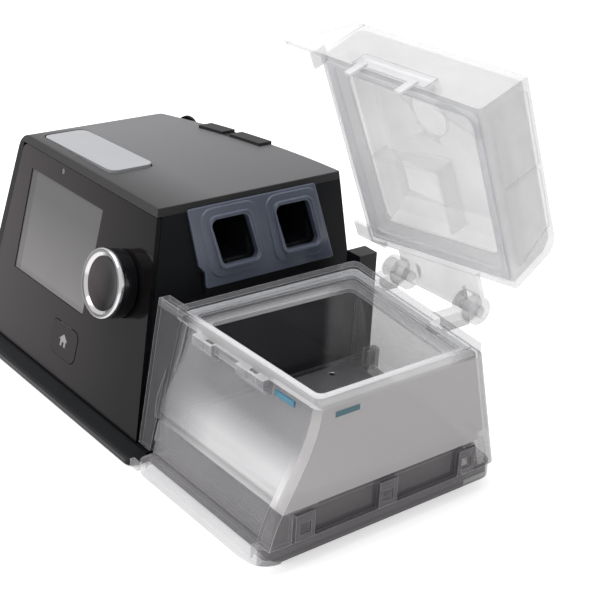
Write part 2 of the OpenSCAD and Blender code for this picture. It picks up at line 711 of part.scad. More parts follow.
// Outline of the rim in plan and of its mouth, and outlines between the two
function rim_pts() = [[tank_x, rim_front], [tank_r, rim_front], [tank_r, back_right], [tank_x + 1, back_left]];
function mouth_pts() = [[tank_x + band_left, rim_front + band_front],
    [tank_r - band_right, rim_front + band_front],
    [tank_r - band_right, back_right - band_back], [tank_x + band_left + 3, back_left - band_back - 2.6]];
function band_pts(t) = mix(rim_pts(), mouth_pts(), t);

// The front swings out on its way down, in half a wave from the rim to the foot
function wave(z, foot, out) = rim_front + 2.4 - out * (1 - cos(180 * (clip_top + 1 - z) / (clip_top + 1 - foot))) / 2;
function front_wall(z) = wave(z, front_shelf_z, swing);
function pillar_at(z) = wave(z, pillar_foot, pillar_swing);

module plan(z0, z1, pts, r = 4) translate([0, 0, z0]) linear_extrude(z1 - z0) polygon(rounded(pts, r));

// Everything in front of the tank's leaning back, with round corners, drawn in by a wall
module ahead_of_back(in = 0, r = 4, back_in = 0, left = tank_x, right = tank_r) let (c = cos(back_lean))
    translate([0, back_left, rim_z]) rotate([back_lean, 0, 0]) linear_extrude(far, center = true)
        polygon(rounded([[left + in, -far], [right - in, -far],
            [right - in, (back_right - back_left - in - back_in) * c],
            [left + 1 + in, -(in + back_in) * c]], r));

// Form of the tub, drawn in by a wall: right side with its shelf, waved front with its shelf, leaning back
module tub_form(z0, z1, in = 0, back_in = 0) intersection() {
    along_y(-far, far) polygon([[tank_x + in, z0], [tank_r - shelf_in - in, z0],
        [tank_r - shelf_in - in, shelf_z - 1 + in], [tank_r - in, shelf_z + in], [tank_r - in, z1],
        [tank_x + in, z1]]);
    along_x(-far, far) polygon(concat([[far, z1], [far, z0],
        [front_wall(front_shelf_z) + shelf_in + 0.4 + in, z0],
        [front_wall(front_shelf_z) + shelf_in + 0.4 + in, front_shelf_z - 0.6 + in]],
        [for (k = [0:fold_n]) let (z = front_shelf_z + in + (z1 - front_shelf_z - in) * k / fold_n)
            [front_wall(z) + in * up, z]]));
    ahead_of_back(in, 4 - in / 2, back_in);
}

hinge_y = 65.5;
hinge_z = rim_z - 0.5;
arm_left = tank_x + 15.4;
arm_right = tank_x + 64;
arm_t = 6.2;
pin_fit = 0.06;
neck_top = rim_z - 1;

// Arm that carries one hinge pin behind the rim
module hinge_arm(x) {
    block(x, back_right + (tank_r - x - arm_t) * tan(back_skew) - 2, neck_top - 8, x + arm_t, hinge_y,
        neck_top);
    translate([x, hinge_y, hinge_z]) rotate([0, 90, 0]) cylinder(h = arm_t, r = ear_r);
}

module on_hinge() translate([0, hinge_y, hinge_z]) rotate([0, 90, 0]) children();

fold_w = 6.8;
clip_left = tank_x + 19.4;
clip_left_w = 13.5;
clip_right = tank_x + 51.5;
clip_right_w = 19;
clip_out = 3.4;
clip_h = 7.6;
hook_w = 4.4;
hook_left = tank_x + 27.4;
hook_right = tank_x + 59.2;

// Left and right edges of the wing that closes the front up to the machine
function wing_at(z) = joint_x + 1.8 - 0.119 * z;
function fold_at(z) = tank_x + 1.6 + fold_w * (1 - cos(180 * min(max((z - shelf_z + 6) / 38, 0), 1))) / 2;

// Two slotted catches and the web between them, under the front of the rim
module clip_bar() difference() {
    union() {
        for (c = [[clip_left, clip_left_w], [clip_right, clip_right_w]]) block(c[0], rim_front - clip_out,
            clip_top - clip_h, c[0] + c[1], rim_front + 3.4, clip_top + 0.5);
        block(clip_left + clip_left_w - 0.5, rim_front - 1, clip_top - 4.4, clip_right + 0.5, rim_front + 3,
            clip_top + 0.5);
    }
    for (x = [hook_left, hook_right]) block(x - 0.5, rim_front - clip_out + 1, clip_top - 4.6, x + hook_w + 0.5,
        rim_front, clip_top + 1);
    // slanted undersides
    for (c = [[clip_left, clip_left_w], [clip_right, clip_right_w]]) translate([c[0] - 1, rim_front - clip_out,
        clip_top - 4.4]) rotate([-50, 0, 0]) translate([0, -2, -12]) cube([c[1] + 2, 14, 12]);
}

tongue_y = [pillar_back + 7, -6, 40];
tongue_w = 10;
post_x = tank_x + 15.6;
post_y = back_left - 4.6;
tongue_top = 25;
window_z0 = 15.4;
window_z1 = 20.8;

module tank_tub() color([0.86, 0.87, 0.88, 0.5]) difference() {
    union() {
        difference() {
            union() {
                tub_form(seam_z, clip_top);
                tub_form(tub_z, seam_z + 1, 0, shelf_in + 2.2);
            }
            intersection() {
                tub_form(seam_z + 1, rim_z, clear_t);
                block(-far, -far, tub_floor + clear_t, far, far, far);
            }
            // open below the floor, round the platform
            intersection() {
                tub_form(tub_z - 1, tub_floor, clear_t, shelf_in + 2.2);
                block(-far, -far, 0, far, far, tub_floor);
            }
            block(-far, platform_y0 - 0.6, 0, tank_x + 4, far, tub_floor);
        }
        // stepped rim
        difference() {
            plan(clip_top, rim_z, rim_pts(), 3);
            plan(clip_top - 1, rim_z + 1, mouth_pts(), 3);
            plan(rim_z - 1.5, rim_z + 1, band_pts(0.26), 3);
            plan(rim_z - 3, rim_z + 1, band_pts(0.66), 3);
        }
        // flared pillar at the front right corner
        intersection() {
            ahead_of_back();
            difference() {
                along_x(tank_r - pillar_w, tank_r) polygon(concat([[rim_front + 3, clip_top],
                    [rim_front + 3, shelf_z - 1], [pillar_back, shelf_z - 1], [pillar_back, seam_z]],
                    [for (k = [0:fold_n]) let (z = seam_z + (clip_top - seam_z) * k / fold_n) [pillar_at(z),
                    z]]));
                along_x(tank_r - pillar_w - 1, tank_r - clear_t)
                    polygon(concat([[far, clip_top], [far, seam_z - 1]],
                    [for (k = [0:fold_n]) let (z = seam_z - 1 + (clip_top - seam_z + 1) * k / fold_n)
                        [pillar_at(z) + clear_t, z]]));
            }
        }
        // pillar at the back right corner, down to the foot
        difference() {
            intersection() {
                ahead_of_back();
                block(tank_r - pillar_w, 0, seam_z, far, far, shelf_z + 2);
            }
            ahead_of_back(0, 0.1, pillar_t, tank_x - 1, tank_r + 1);
        }
        // wing that closes the front up to the machine
        on_front() translate([0, 0, -2]) linear_extrude(2) polygon(concat([[wing_at(rim_z), (rim_z - 2) * up],
            [wing_at(8), 8 * up]], [for (k = [0:fold_n])
            let (z = 8 + (rim_z - 10) * k / fold_n) [fold_at(z), z * up]]));
        block(wing_at(rim_z) + 0.4, front_at(rim_z) + 0.2, rim_z - 4.4, tank_x + 2, front_at(rim_z) + 5,
            rim_z - 2);
        hinge_arm(arm_left);
        hinge_arm(arm_right);
        clip_bar();
        // channelled post in the back left corner, on the tank's floor
        difference() {
            block(post_x, post_y, tub_floor, post_x + 4.4, post_y + 7, tub_floor + 13);
            block(post_x + 1.2, post_y - 1, tub_floor + clear_t + 2, post_x + 3.2, post_y + 5.6,
                tub_floor + 14);
        }
        for (y = tongue_y) block(tank_r - shelf_in - 0.6, y - 2.6, window_z0 + 0.2, tank_r - 0.8, y + 2.6,
            window_z1 - 0.1);
    }
    on_hinge() translate([0, 0, tank_x]) cylinder(h = tank_w, r = pin_r);
    translate([heater_x, heater_y, 0]) cylinder(h = tub_floor + 8, r = heater_r + 2.3, $fn = 96);
    // notch for the machine's shoulder
    block(tank_x - 2, rear_block_y - 0.8, 0, rear_block_x + 0.8, far, clip_top + 1);
    translate([mark_x, mark_y, mark_z]) cube([mark_w, 5, mark_h]);
    translate([tank_r - 0.5, side_mark_y, side_mark_z]) cube([2, mark_w, mark_h]);
}

mark_w = 12.6;
mark_h = 2.6;
mark_x = tank_x + 72.4;
mark_z = rim_z - 11.4;
mark_y = front_wall(mark_z) - 0.3;
side_mark_y = -38.8;
side_mark_z = rim_z - 10.6;

module level_mark_front() color("#0b8ab8") translate([mark_x, mark_y, mark_z]) cube([mark_w, 1, mark_h]);

module level_mark_side() color("#0b4d5c") translate([tank_r - 0.5, side_mark_y, side_mark_z])
    cube([0.6, mark_w, mark_h]);

apron_z = 23.6;
skirt_z = 6.2;
flange_z0 = 2.4;
flange_z1 = 6;
flange_rise = 17;

// Plan of the skirt, which stands straight under the tub's seam
function skirt_pts(in = 0) = let (d = back_slope * (rim_z - seam_z)) [[rear_block_x + 0.8 + in,
    front_y - lip_out + in],
    [tank_r - in, front_y - lip_out + in], [tank_r - in, back_right + d - in],
    [rear_block_x + 0.8 + in, back_left + d - in]];

// Lower tray that snaps on under the tub, with a skirt round the dock
module tank_base() color([0.84, 0.85, 0.87, 0.5]) difference() {
    union() {
        difference() {
            plan(skirt_z, seam_z - 0.2, skirt_pts(), 9);
            plan(skirt_z - 1, seam_z, skirt_pts(clear_t), 2.5);
            // the front stays low, under the apron
            block(tank_x - 5, -far, flange_z1, tank_r - 9, front_y + 7, seam_z);
        }
        plan(dock_z + 0.05, tub_z, skirt_pts(1.4), 4);
        // front foot of the skirt, and the lip it shares with the machine's base
        difference() {
            intersection() {
                plan(flange_z0, flange_z1 + 0.4, skirt_pts(), 9);
                along_y(-far, front_y + 1.6) polygon([[tank_x, flange_z0], [tank_r - flange_rise, flange_z0],
                    [tank_r, skirt_z - 0.8], [tank_r, far], [tank_x, far]]);
            }
            plan(0, dock_z, skirt_pts(clear_t), 7);
        }
        block(tank_x, front_y - lip_out, flange_z0, tank_x + 6, front_y - lip_out + clear_t, flange_z1);
        // apron under the shelf
        on_front() translate([tank_x + 3.2, 6.8, -2]) linear_extrude(2)
            polygon(rounded(box_pts(0, 0, tank_w - 4 - pillar_w, apron_z - 6), 1.2));
        for (y = tongue_y) block(tank_r - shelf_in + 0.3, y - tongue_w / 2, seam_z - 4, tank_r - 0.2,
            y + tongue_w / 2, tongue_top);
    }
    // open round the platform, which the tank slides off to the right
    plan(0, seam_z, [[-far, platform_y0 - 0.6], [dock_r, platform_y0 - 0.6],
        [dock_r, back_right + platform_back + 1],
        [-far, back_right + platform_back + 1 + (far + dock_r) * tan(back_skew)]], 4);
    for (y = tongue_y) block(tank_r - 6, y - 3, window_z0, tank_r + 2, y + 3, window_z1);
    // left end stays open where the tank slides onto the dock
    block(tank_x - 3, front_y + 1.6, 0, tank_x + 6, far, dock_z);
    block(tank_x - 3, front_y + 1.6, skirt_z - 1, rear_block_x + clear_t + 1, far, seam_z + 1);
}

// Metal floor of the tank, with a round boss that meets the heater
module tank_plate() color("#a9acb0") difference() {
    union() {
        translate([heater_x, heater_y, tub_floor]) cylinder(h = clear_t + 0.5, r = heater_r + 2, $fn = 96);
        plan(tub_floor + clear_t, tub_floor + clear_t + 1.2,
            [[tank_x + plate_in, front_wall(tub_floor) + plate_in],
            [tank_r - plate_in - 2, front_wall(tub_floor) + plate_in], [tank_r - plate_in - 2, back_right + 2],
            [tank_x + plate_in, back_left - 6]], 12);
    }
    translate([tank_x + plate_in + 6.2, 33, tub_floor]) cylinder(h = 8, r = 1.5);
}

plate_in = 8.4;

module rim_gasket() color("#c8ccd2") difference() {
    plan(rim_z - 1.5, rim_z - 0.6, band_pts(0.3), 3);
    plan(rim_z - 2, rim_z, band_pts(0.6), 3);
}

// ---- Lid, modelled shut and turned open on the hinge ----

module lid_place() translate([0, hinge_y, hinge_z]) rotate([-lid_open, 0, 0]) translate([0, -hinge_y, -hinge_z])
    children();

lid_z = rim_z + 0.4;
lid_top = lid_z + lid_h;
lid_front = rim_front - 0.2;
lid_left = tank_x + 1.4;
lid_left_top = tank_x - 1.8;
lid_skew = atan((back_left - back_right + 2) / (tank_w - 1));
lid_back_lean = 8;
lid_t = 1.9;

// Outer form of the lid between two heights, drawn in by a wall
module lid_form(z0, z1, in = 0) intersection() {
    along_y(-far, far) polygon(rounded([[lid_left + in, z0], [tank_r - in, z0], [tank_r - 0.8 - in, z1],
        [lid_left_top + in, z1]], 2.2));
    along_x(-far, far) polygon([[lid_front + in, z0], [far, z0], [far, z1], [lid_front + in + 1.4, z1],
        [lid_front + in + 0.3, z1 - 3]]);
    translate([tank_r, back_right, 0]) rotate([0, 0, -lid_skew]) along_x(-far, far)
        polygon(rounded([[-far, z0], [-in, z0], [-in - lid_back_lean * 0.55, z1 - 6],
        [-in - lid_back_lean - 2, z1],
            [-far, z1]], 1.6));
}

// Front edge, back edge at the foot and back edge at the top of each panel in the lid's right wall
panel_y = [[lid_front + 6, -7, -7], [-5.8, back_right - 9, back_right - lid_back_lean - 10]];
panel_deep = 0.6;

plate_z = hinge_z + 2;
plate_t = 2.4;
plate_back = hinge_y + 6.9;
ear_gap = 0.4;
ear_left = arm_left + arm_t + ear_gap;
ear_left_t = 7.4;
ear_right = arm_right + arm_t + ear_gap;
ear_right_t = 5;
pad_x0 = tank_x + 23.6;
pad_x1 = tank_x + 68.4;
pad_z0 = lid_z + 1.4;
pad_z1 = lid_z + 9;
latch_y = lid_front + 3;
latch_z = lid_z + 5.4;
latch_pin_r = 0.9;

module lid_ear(x, t) translate([x, hinge_y, hinge_z]) rotate([0, 90, 0]) cylinder(h = t, r = ear_r);

// Walls beside the latch that hold its pin
module latch_posts() for (x = [pad_x0 - 3.2, pad_x1 + 0.8])
    block(x, lid_front + 0.4, latch_z - 2.4, x + 2.4, latch_y + 2, latch_z + 2.4);

module lid_shell() color([0.88, 0.89, 0.9, 0.45]) lid_place() difference() {
    union() {
        difference() {
            lid_form(lid_z, lid_top);
            lid_form(lid_z - 3, lid_top - lid_t, lid_t);
        }
        // flange round the mouth
        difference() {
            intersection() {
                lid_form(lid_z, lid_top);
                block(tank_x - 5, -far, lid_z, far, far, lid_z + 2);
            }
            plan(lid_z - 1, lid_z + 3, mouth_pts(), 4);
        }
        // wing of the front wall, which reaches over to the machine
        along_y(lid_front, lid_front + 1.8) polygon([[right_at(lid_z) + 1, lid_z + 0.1],
            [lid_left + 1, lid_z + 0.1],
            [lid_left + 1, lid_top - 2], [lid_left_top - 1, lid_top - 2]]);
        block(lid_left - 7, lid_front + 1, lid_z + 0.1, lid_left - 5.4, lid_front + 10, lid_z + 8);
        // ledge behind the left corner
        block(lid_left - 12.6, back_left - 5, lid_z + 2.4, lid_left + 8, back_left + 3.4, lid_z + 4.2);
        // hinge plate with its two ears
        difference() {
            plan(plate_z, plate_z + plate_t, [[ear_left, back_right + 1],
                [ear_right + ear_right_t, back_right + 1],
                [ear_right + ear_right_t, plate_back], [ear_left, plate_back]], 2.4);
            block(arm_right - ear_gap, hinge_y - ear_r - 0.6, 0, ear_right, far, far);
            lid_form(lid_z, lid_top, lid_t);
        }
        lid_ear(ear_left, ear_left_t);
        lid_ear(ear_right, ear_right_t);
        latch_posts();
    }
    for (e = [[ear_left, ear_left_t], [ear_right, ear_right_t]]) translate([e[0] - 1, hinge_y, hinge_z])
        rotate([0, 90, 0]) cylinder(h = e[1] + 2, r = pin_r + pin_fit);
    // window for the latch
    block(pad_x0 - gap, lid_front - 1, pad_z0 - gap, pad_x1 + gap, lid_front + lid_t + 0.5, pad_z1 + gap);
    for (x = [hook_left, hook_right]) block(x - 0.5, lid_front - 1, lid_z - 1, x + hook_w + 0.5,
        lid_front + 1.2,
        pad_z0 + 1);
    block(pad_x0 - gap, lid_front, latch_z - 2.6, pad_x1 + gap, latch_y + 2.4, latch_z + 2.6);
    translate([(pad_x0 + pad_x1) / 2, latch_y, latch_z]) rotate([0, 90, 0])
        cylinder(h = pad_x1 - pad_x0 + 8, r = latch_pin_r, center = true);
    plan(lid_z - 1, lid_z + 0.9, band_pts(0.26), 3);
    // two shallow panels in the right wall
    difference() {
        along_x(tank_r - 4, tank_r + 1) for (y = panel_y)
            polygon(rounded([[y[0], lid_z + 4.6], [y[1], lid_z + 4.6], [y[2], lid_top - 3],
            [y[0], lid_top - 3]], 1.6));
        lid_form(lid_z, lid_top, panel_deep);
    }
}

module lid_gasket() color("#c3ccd8") lid_place() difference() {
    plan(rim_z - 0.5, lid_z + 0.9, band_pts(0.3), 3);
    plan(rim_z - 1, lid_z + 2, band_pts(0.6), 3);
}

// Rocking latch low in the front wall, with a hook at each end
module lid_latch() color([0.85, 0.87, 0.9, 0.6]) lid_place() difference() {
    union() {
        block(pad_x0, lid_front, pad_z0, pad_x1, lid_front + lid_t - 0.2, pad_z1);
        translate([pad_x0, latch_y, latch_z]) rotate([0, 90, 0]) cylinder(h = pad_x1 - pad_x0, r = 1.9);
        for (x = [hook_left, hook_right]) {
            block(x, lid_front - 0.9, clip_top - 1.6, x + hook_w, lid_front + 0.1, pad_z0 + 1.5);
            block(x, lid_front - 0.9, pad_z0, x + hook_w, lid_front + 1, pad_z0 + 1.5);
        }
    }
    translate([pad_x0 - 1, latch_y, latch_z]) rotate([0, 90, 0])
        cylinder(h = pad_x1 - pad_x0 + 2, r = latch_pin_r + run_fit);
}

module latch_pin() color("silver") lid_place() translate([(pad_x0 + pad_x1) / 2, latch_y, latch_z])
    rotate([0, 90, 0])
    cylinder(h = pad_x1 - pad_x0 + 6.4, r = latch_pin_r, center = true);

tray_z = lid_z + 12.6;
tray_t = 1.6;
rib_t = 1.6;

module rib(a, b, z0) along_line(a, b) translate([0, -rib_t / 2, z0])
    cube([norm(b - a), rib_t, tray_z + 0.5 - z0]);
module along_line(a, b) translate([a[0], a[1], 0]) rotate(atan2(b[1] - a[1], b[0] - a[0])) children();

// Inner tray that parts the air going in from the air coming out
module lid_inner() color([0.9, 0.9, 0.92, 0.4]) lid_place() difference() {
    union() {
        intersection() {
            lid_form(lid_z - 3, lid_top - lid_t, lid_t);
            block(lid_left + 3, latch_y + 3, tray_z, far, far, tray_z + tray_t);
        }
        rib([tank_x + 17, 3.6], [tank_x + 62, -3.8], lid_z + 2.6);
        rib([tank_x + 62, -4.6], [tank_x + 63.4, 29], lid_z + 2.6);
        rib([tank_x + 66, -36], [tank_x + 89, -27], lid_z + 6);
    }
    translate([tank_x + 52, -24, tray_z - 1]) cylinder(h = 4, r = 11);
    block(tank_x + 24, 8, tray_z - 1, tank_x + 50, 26, tray_z + 4);
}

module hinge_pin_left() color([0.8, 0.82, 0.84, 0.7]) on_hinge() {
    translate([0, 0, arm_left + 0.6]) cylinder(h = arm_t + ear_gap + ear_left_t, r = pin_r);
    translate([0, 0, arm_left - 1.2]) cylinder(h = 1.2, r = 4.8);
    translate([0, 0, arm_left - 0.4]) cylinder(h = 2, r = pin_r);
}

module hinge_pin_right() color([0.8, 0.82, 0.84, 0.7]) on_hinge() {
    translate([0, 0, arm_right + 0.6]) cylinder(h = arm_t + ear_gap + ear_right_t, r = pin_r);
}

base_pan();
main_shell();
top_cover();
front_panel();
screen_lens();
display_module();
light_sensor();
home_button();
home_switch();
start_button();
start_button_pin();
knob_body();
knob_ring();
knob_face();
encoder_shaft();
encoder_sleeve();
encoder_body();
main_board();
port_seal();
duct_box();
blower_housing();
blower_motor();
impeller();
silencer_block();
outlet_cup();
air_outlet();
power_inlet();
filter_cover();
filter_pin();
air_filter();
card_slot();
card_door();
card_door_pin();
heater_pad();
heater_plate();
foot(0);  // foot_1
foot(1);  // foot_2
foot(2);  // foot_3
foot(3);  // foot_4
base_screw(0);  // base_screw_1
base_screw(1);  // base_screw_2
base_screw(2);  // base_screw_3
base_screw(3);  // base_screw_4
tank_tub();
tank_base();
tank_plate();
rim_gasket();
level_mark_front();
level_mark_side();
lid_shell();
lid_inner();
lid_gasket();
lid_latch();
latch_pin();
hinge_pin_left();
hinge_pin_right();
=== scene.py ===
"""Finishes, rounded pieces and a small studio for a bedside air machine with a docked water tank."""
import json
import math

import bpy
from bpy.props import FloatProperty, FloatVectorProperty, IntProperty, PointerProperty
from mathutils import Matrix, Vector


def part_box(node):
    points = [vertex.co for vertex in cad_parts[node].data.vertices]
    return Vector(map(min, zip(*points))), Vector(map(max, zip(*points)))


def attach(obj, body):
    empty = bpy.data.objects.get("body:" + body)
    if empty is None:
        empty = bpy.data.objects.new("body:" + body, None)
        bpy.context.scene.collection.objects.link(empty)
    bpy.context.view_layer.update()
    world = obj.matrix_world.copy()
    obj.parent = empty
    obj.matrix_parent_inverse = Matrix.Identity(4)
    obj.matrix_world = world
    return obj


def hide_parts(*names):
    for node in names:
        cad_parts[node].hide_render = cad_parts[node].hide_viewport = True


bl_info = {
    "name": "Bedside air machine",
    "version": (1, 0, 0),
    "blender": (4, 5, 0),
    "location": "View3D > Sidebar > Air machine",
    "description": "Finishes, rounded pieces and studio for a bedside air machine",
    "category": "Object",
}

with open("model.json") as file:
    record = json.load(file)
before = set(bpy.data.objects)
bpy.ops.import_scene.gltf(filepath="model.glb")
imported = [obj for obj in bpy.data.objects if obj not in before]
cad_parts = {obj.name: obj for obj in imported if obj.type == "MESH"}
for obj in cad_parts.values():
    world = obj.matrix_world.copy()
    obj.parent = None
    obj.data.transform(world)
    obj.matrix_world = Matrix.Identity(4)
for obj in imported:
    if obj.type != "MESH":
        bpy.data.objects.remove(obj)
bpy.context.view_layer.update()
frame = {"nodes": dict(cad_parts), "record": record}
NODES = frame["nodes"]
SLOTS = {part["node"]: part["material_slot"] for part in frame["record"]["subparts"]}
BODIES = frame["record"]["behaviour"]["bodies"]
MM = 0.001

# Lengths from here on are in millimetres, unless a comment says otherwise

# The leaning front: its lean, its foot, and the directions up its slope and out of it
FRONT_LEAN = math.radians(13.44)
FRONT_Y = -64.0
FRONT_UP = (0.0, math.sin(FRONT_LEAN), math.cos(FRONT_LEAN))
FRONT_OUT = (0.0, -math.cos(FRONT_LEAN), math.sin(FRONT_LEAN))

# The dial: its centre across and up the front, and the outlines that its pieces are turned from,
# as radius and height off the front
DIAL_X, DIAL_V = -14.3, 71.2
DIAL_BODY = ((0, 0.9), (15.9, 0.9), (16.3, 1.3), (16.45, 2.0), (16.45, 8.3), (0, 8.3))
DIAL_RING = ((12.95, 8.45), (16.3, 8.45), (16.7, 8.7), (16.8, 9.1), (16.75, 10.3), (16.5, 11.0),
             (16.05, 11.45), (15.5, 11.6), (15.0, 11.5), (14.5, 11.15), (12.95, 9.9), (12.95, 8.45))
DIAL_FACE = ((0, 8.45), (12.9, 8.45), (12.9, 9.8), (12.7, 9.95), (12.3, 9.9), (10.0, 9.3),
             (7.0, 8.95), (3.5, 8.8), (0, 8.75))
# Radii of the soft inner and outer borders of a painted dark reflection band round the ring
RING_REFLECTION_BAND_INNER, RING_REFLECTION_BAND_OUTER = (14.3, 14.7), (16.1, 15.8)
# Across the dial's face, where its painted reflection fades from light to dark
DIAL_FACE_X = (DIAL_X - 12.0, DIAL_X + 4.0)

# Where the looks of one piece change: each pair is the start and end of a soft border

# Top cover: along it, where painted shade deepens towards the tank; across it, where a painted sheen grows
# towards the back; its front edge, its ridge, and how deep its sides are dark under the ridge
COVER_X = (-110.0, 10.0)
COVER_Y = (-38.0, -4.0)
COVER_FRONT_EDGE_Y = (-36.4, -37.4)
RIDGE_H = 2.0
RIDGE_SOFT = 0.25
COVER_SIDE_DEEP = (12.0, 8.0)

# Front panel, from its left side to the tank, over which its painted reflection fades from light to dark
PANEL_X = (-125.0, 5.0)

# Display window, from its left edge, its foot and its head
WINDOW_FRAME_LEFT = (5.4, 5.8)
WINDOW_FRAME_LOW = (2.6, 2.9)
WINDOW_FOOT = 0.7
WINDOW_HEAD = 12.0

# The house on the home button: its height off the front, half the width that it lies in, its
# colour, and the colour of a painted highlight along the button's edge
HOUSE_UNDER, HOUSE_OVER = (-0.1, 0.02), (0.22, 0.16)
HOUSE_HALF = (5.2, 5.0)
HOUSE_PALE, BUTTON_EDGE_HIGHLIGHT = (0.30, 0.295, 0.30), (0.075, 0.073, 0.075)

# Tank
PAST_WING_X = (36.5, 42.0)
FRONT_WALL_Y = (-43.0, -44.0)
LIT_BAND_X, LIT_BAND_Z = (45.0, 75.0), (52.0, 38.0)
RIGHT_WALL_X = (128.6, 129.2)
LOW_RIGHT_X, LOW_RIGHT_Z = (124.0, 125.0), (28.6, 28.0)
LOW_FRONT_Z = (24.6, 24.0)
BACK_WALL_Y = (36.0, 41.0)
RIM_Z = (70.6, 71.2)
RIM_BACK_Y, RIM_LEFT_X = (22.0, 34.0), (52.0, 44.0)

# See-through walls and edges: the cosine between a face and its rounded edge, and how far a wall is
# seen along itself
EDGE_TURN = (0.90, 0.74)
WALL_GRAZED = (0.80, 0.98)

# Most of a noise lies between these values
NOISE_LOW, NOISE_HIGH = 0.3, 0.7

# Rounding: corners sharper than these angles are rounded, and flatter ones are shaded smooth
ROUND_ANGLE, CLEAR_ROUND_ANGLE, SMOOTH_ANGLE = 32.0, 28.0, 38.0
DIAL_SMOOTH_ANGLE = 35.0
FLAT_ANGLE = 0.6
SAME_PLACE = 0.002

# Camera, fitted to the outline and the main edges: its place, azimuth, elevation and roll in degrees
CAMERA_AT = (480.321, -340.858, 323.338)
CAMERA_TURN = (50.908, 24.373, 3.018)

# Stage, in metres: each light's place, the point it is aimed at and its size
KEY_LIGHT = ((-0.25, -0.35, 1.15), (0, 0, 0.05), (1.0, 1.0))
FILL_LIGHT = ((-0.9, -1.1, 0.6), (0, 0, 0.06), (0.9, 0.9))
FLOOR_SIZE = 12
FLOOR_GREY, FLOOR_GLOW = 0.8, 0.55


# ---- Settings ----

def colour(name, description, value):
    """A colour setting."""
    return FloatVectorProperty(name=name, description=description, subtype="COLOR", size=3,
                               min=0.0, max=1.0, default=value)


def rounding(name, description, value):
    """The radius of a rounding, in metres."""
    return FloatProperty(name=name, description=description, unit="LENGTH", subtype="DISTANCE",
                         min=0.0, max=0.002, default=value, precision=5)


class AirMachineColours(bpy.types.PropertyGroup):
    """Colours of the machine's finishes."""
    shell: colour("Housing", "Satin black of the housing and base", (0.0035, 0.004, 0.0055))
    cover: colour("Top cover", "Textured grey of the top", (0.152, 0.149, 0.156))
    panel: colour("Front panel", "Gloss brown black of the front", (0.0065, 0.0055, 0.006))
    screen: colour("Display window", "Unlit display window", (0.105, 0.101, 0.104))
    start: colour("Start button", "Silver grey paint of the start button", (0.33, 0.335, 0.35))
    chrome: colour("Dial ring", "Polished ring of the dial", (0.56, 0.55, 0.56))
    silicone: colour("Port seal", "Blue grey silicone", (0.075, 0.088, 0.125))
    tank: colour("Tank tint", "Tint of the tank's clear plastic", (1.0, 1.0, 1.0))
    frost: colour("Lid", "Frosted plastic of the lid", (0.67, 0.665, 0.675))
    steel: colour("Steel", "Pins and screws", (0.50, 0.50, 0.52))
    front_mark: colour("Front level mark", "Bright blue mark", (0.0, 0.15, 0.25))
    side_mark: colour("Side level mark", "Dark teal mark", (0.003, 0.075, 0.107))
    rubber: colour("Rubber", "Feet", (0.018, 0.018, 0.019))


class AirMachineSizes(bpy.types.PropertyGroup):
    """Roundings of the edges, and how fine the dial is."""
    base_edge: rounding("Base edge", "Rounding of the base pan's edges", 0.0006)
    shell_edge: rounding("Housing edge", "Rounding of the housing's edges", 0.00036)
    cover_edge: rounding("Cover edge", "Rounding of the top cover's edges", 0.0009)
    panel_edge: rounding("Panel edge", "Rounding of the front panel's edges", 0.00045)
    start_edge: rounding("Start button edge", "Rounding of the start button's edges", 0.00054)
    window_edge: rounding("Window edge", "Rounding of the display window's edges", 0.00024)
    tank_edge: rounding("Tank edge", "Rounding of the tank's edges", 0.0005)
    lid_edge: rounding("Lid edge", "Rounding of the lid's edges", 0.0007)
    seal_edge: rounding("Seal edge", "Rounding of the port seal's edges", 0.0006)
    small_edge: rounding("Small edge", "Rounding on small pieces", 0.0003)
    dial_steps: IntProperty(name="Dial steps", description="Facets round the dial",
                            default=128, min=48, max=256)


class AirMachineStage(bpy.types.PropertyGroup):
    """Light, floor and camera."""
    floor: colour("Floor", "Colour of the floor and background", (1.0, 1.0, 1.0))
    key: FloatProperty(name="Key light", description="Power of the large soft light, in watts",
                       default=12.0, min=0.0)
    fill: FloatProperty(name="Fill light", description="Power of the light from the front left, in watts",
                        default=1.5, min=0.0)
    sky: FloatProperty(name="Sky", description="Strength of the light from all round",
                       default=0.70, min=0.0)
    lens: FloatProperty(name="Lens", description="Focal length in millimetres", default=79.9, min=10.0)


# ---- Shader helpers ----

def grey(value):
    """A neutral colour."""
    return (value, value, value)


def scaled(base, factor, lift=0.0):
    """A colour made lighter or darker, at most white."""
    return tuple(min(1.0, v * factor + lift) for v in base)


def tinted(base, tint):
    """A colour seen through a tint."""
    return tuple(v * t for v, t in zip(base, tint))


def add(tree, kind, **values):
    """One node, with its settings and the values of its sockets."""
    node = tree.nodes.new(kind)
    for key, value in values.items():
        if key in node.inputs:
            node.inputs[key].default_value = value
        else:
            setattr(node, key, value)
    return node


def feed(tree, socket, value):
    """Links a socket to another one, or sets it to a number, a vector or a colour."""
    if isinstance(value, bpy.types.NodeSocket):
        tree.links.new(value, socket)
    else:
        socket.default_value = (*value, 1.0) if socket.type == "RGBA" else value


def principled(name, base, roughness, **sockets):
    """A material with one Principled shader; sockets are set by name, with _ for a space."""
    material = bpy.data.materials.new(name)
    material.use_nodes = True
    tree = material.node_tree
    tree.nodes.clear()
    output = tree.nodes.new("ShaderNodeOutputMaterial")
    shader = tree.nodes.new("ShaderNodeBsdfPrincipled")
    tree.links.new(shader.outputs["BSDF"], output.inputs["Surface"])
    shader.inputs["Base Color"].default_value = (*base, 1.0)
    shader.inputs["Roughness"].default_value = roughness
    for key, value in sockets.items():
        shader.inputs[key.replace("_", " ")].default_value = value
    return material, tree, shader


def math_node(tree, operation, first, second):
    """One sum on two values, each a socket or a number."""
    node = add(tree, "ShaderNodeMath", operation=operation)
    feed(tree, node.inputs[0], first)
    feed(tree, node.inputs[1], second)
    return node.outputs["Value"]


def dot(tree, first, second):
    """The dot product of two vectors, each a socket or three numbers."""
    node = add(tree, "ShaderNodeVectorMath", operation="DOT_PRODUCT")
    feed(tree, node.inputs[0], first)
    feed(tree, node.inputs[1], second)
    return node.outputs["Value"]


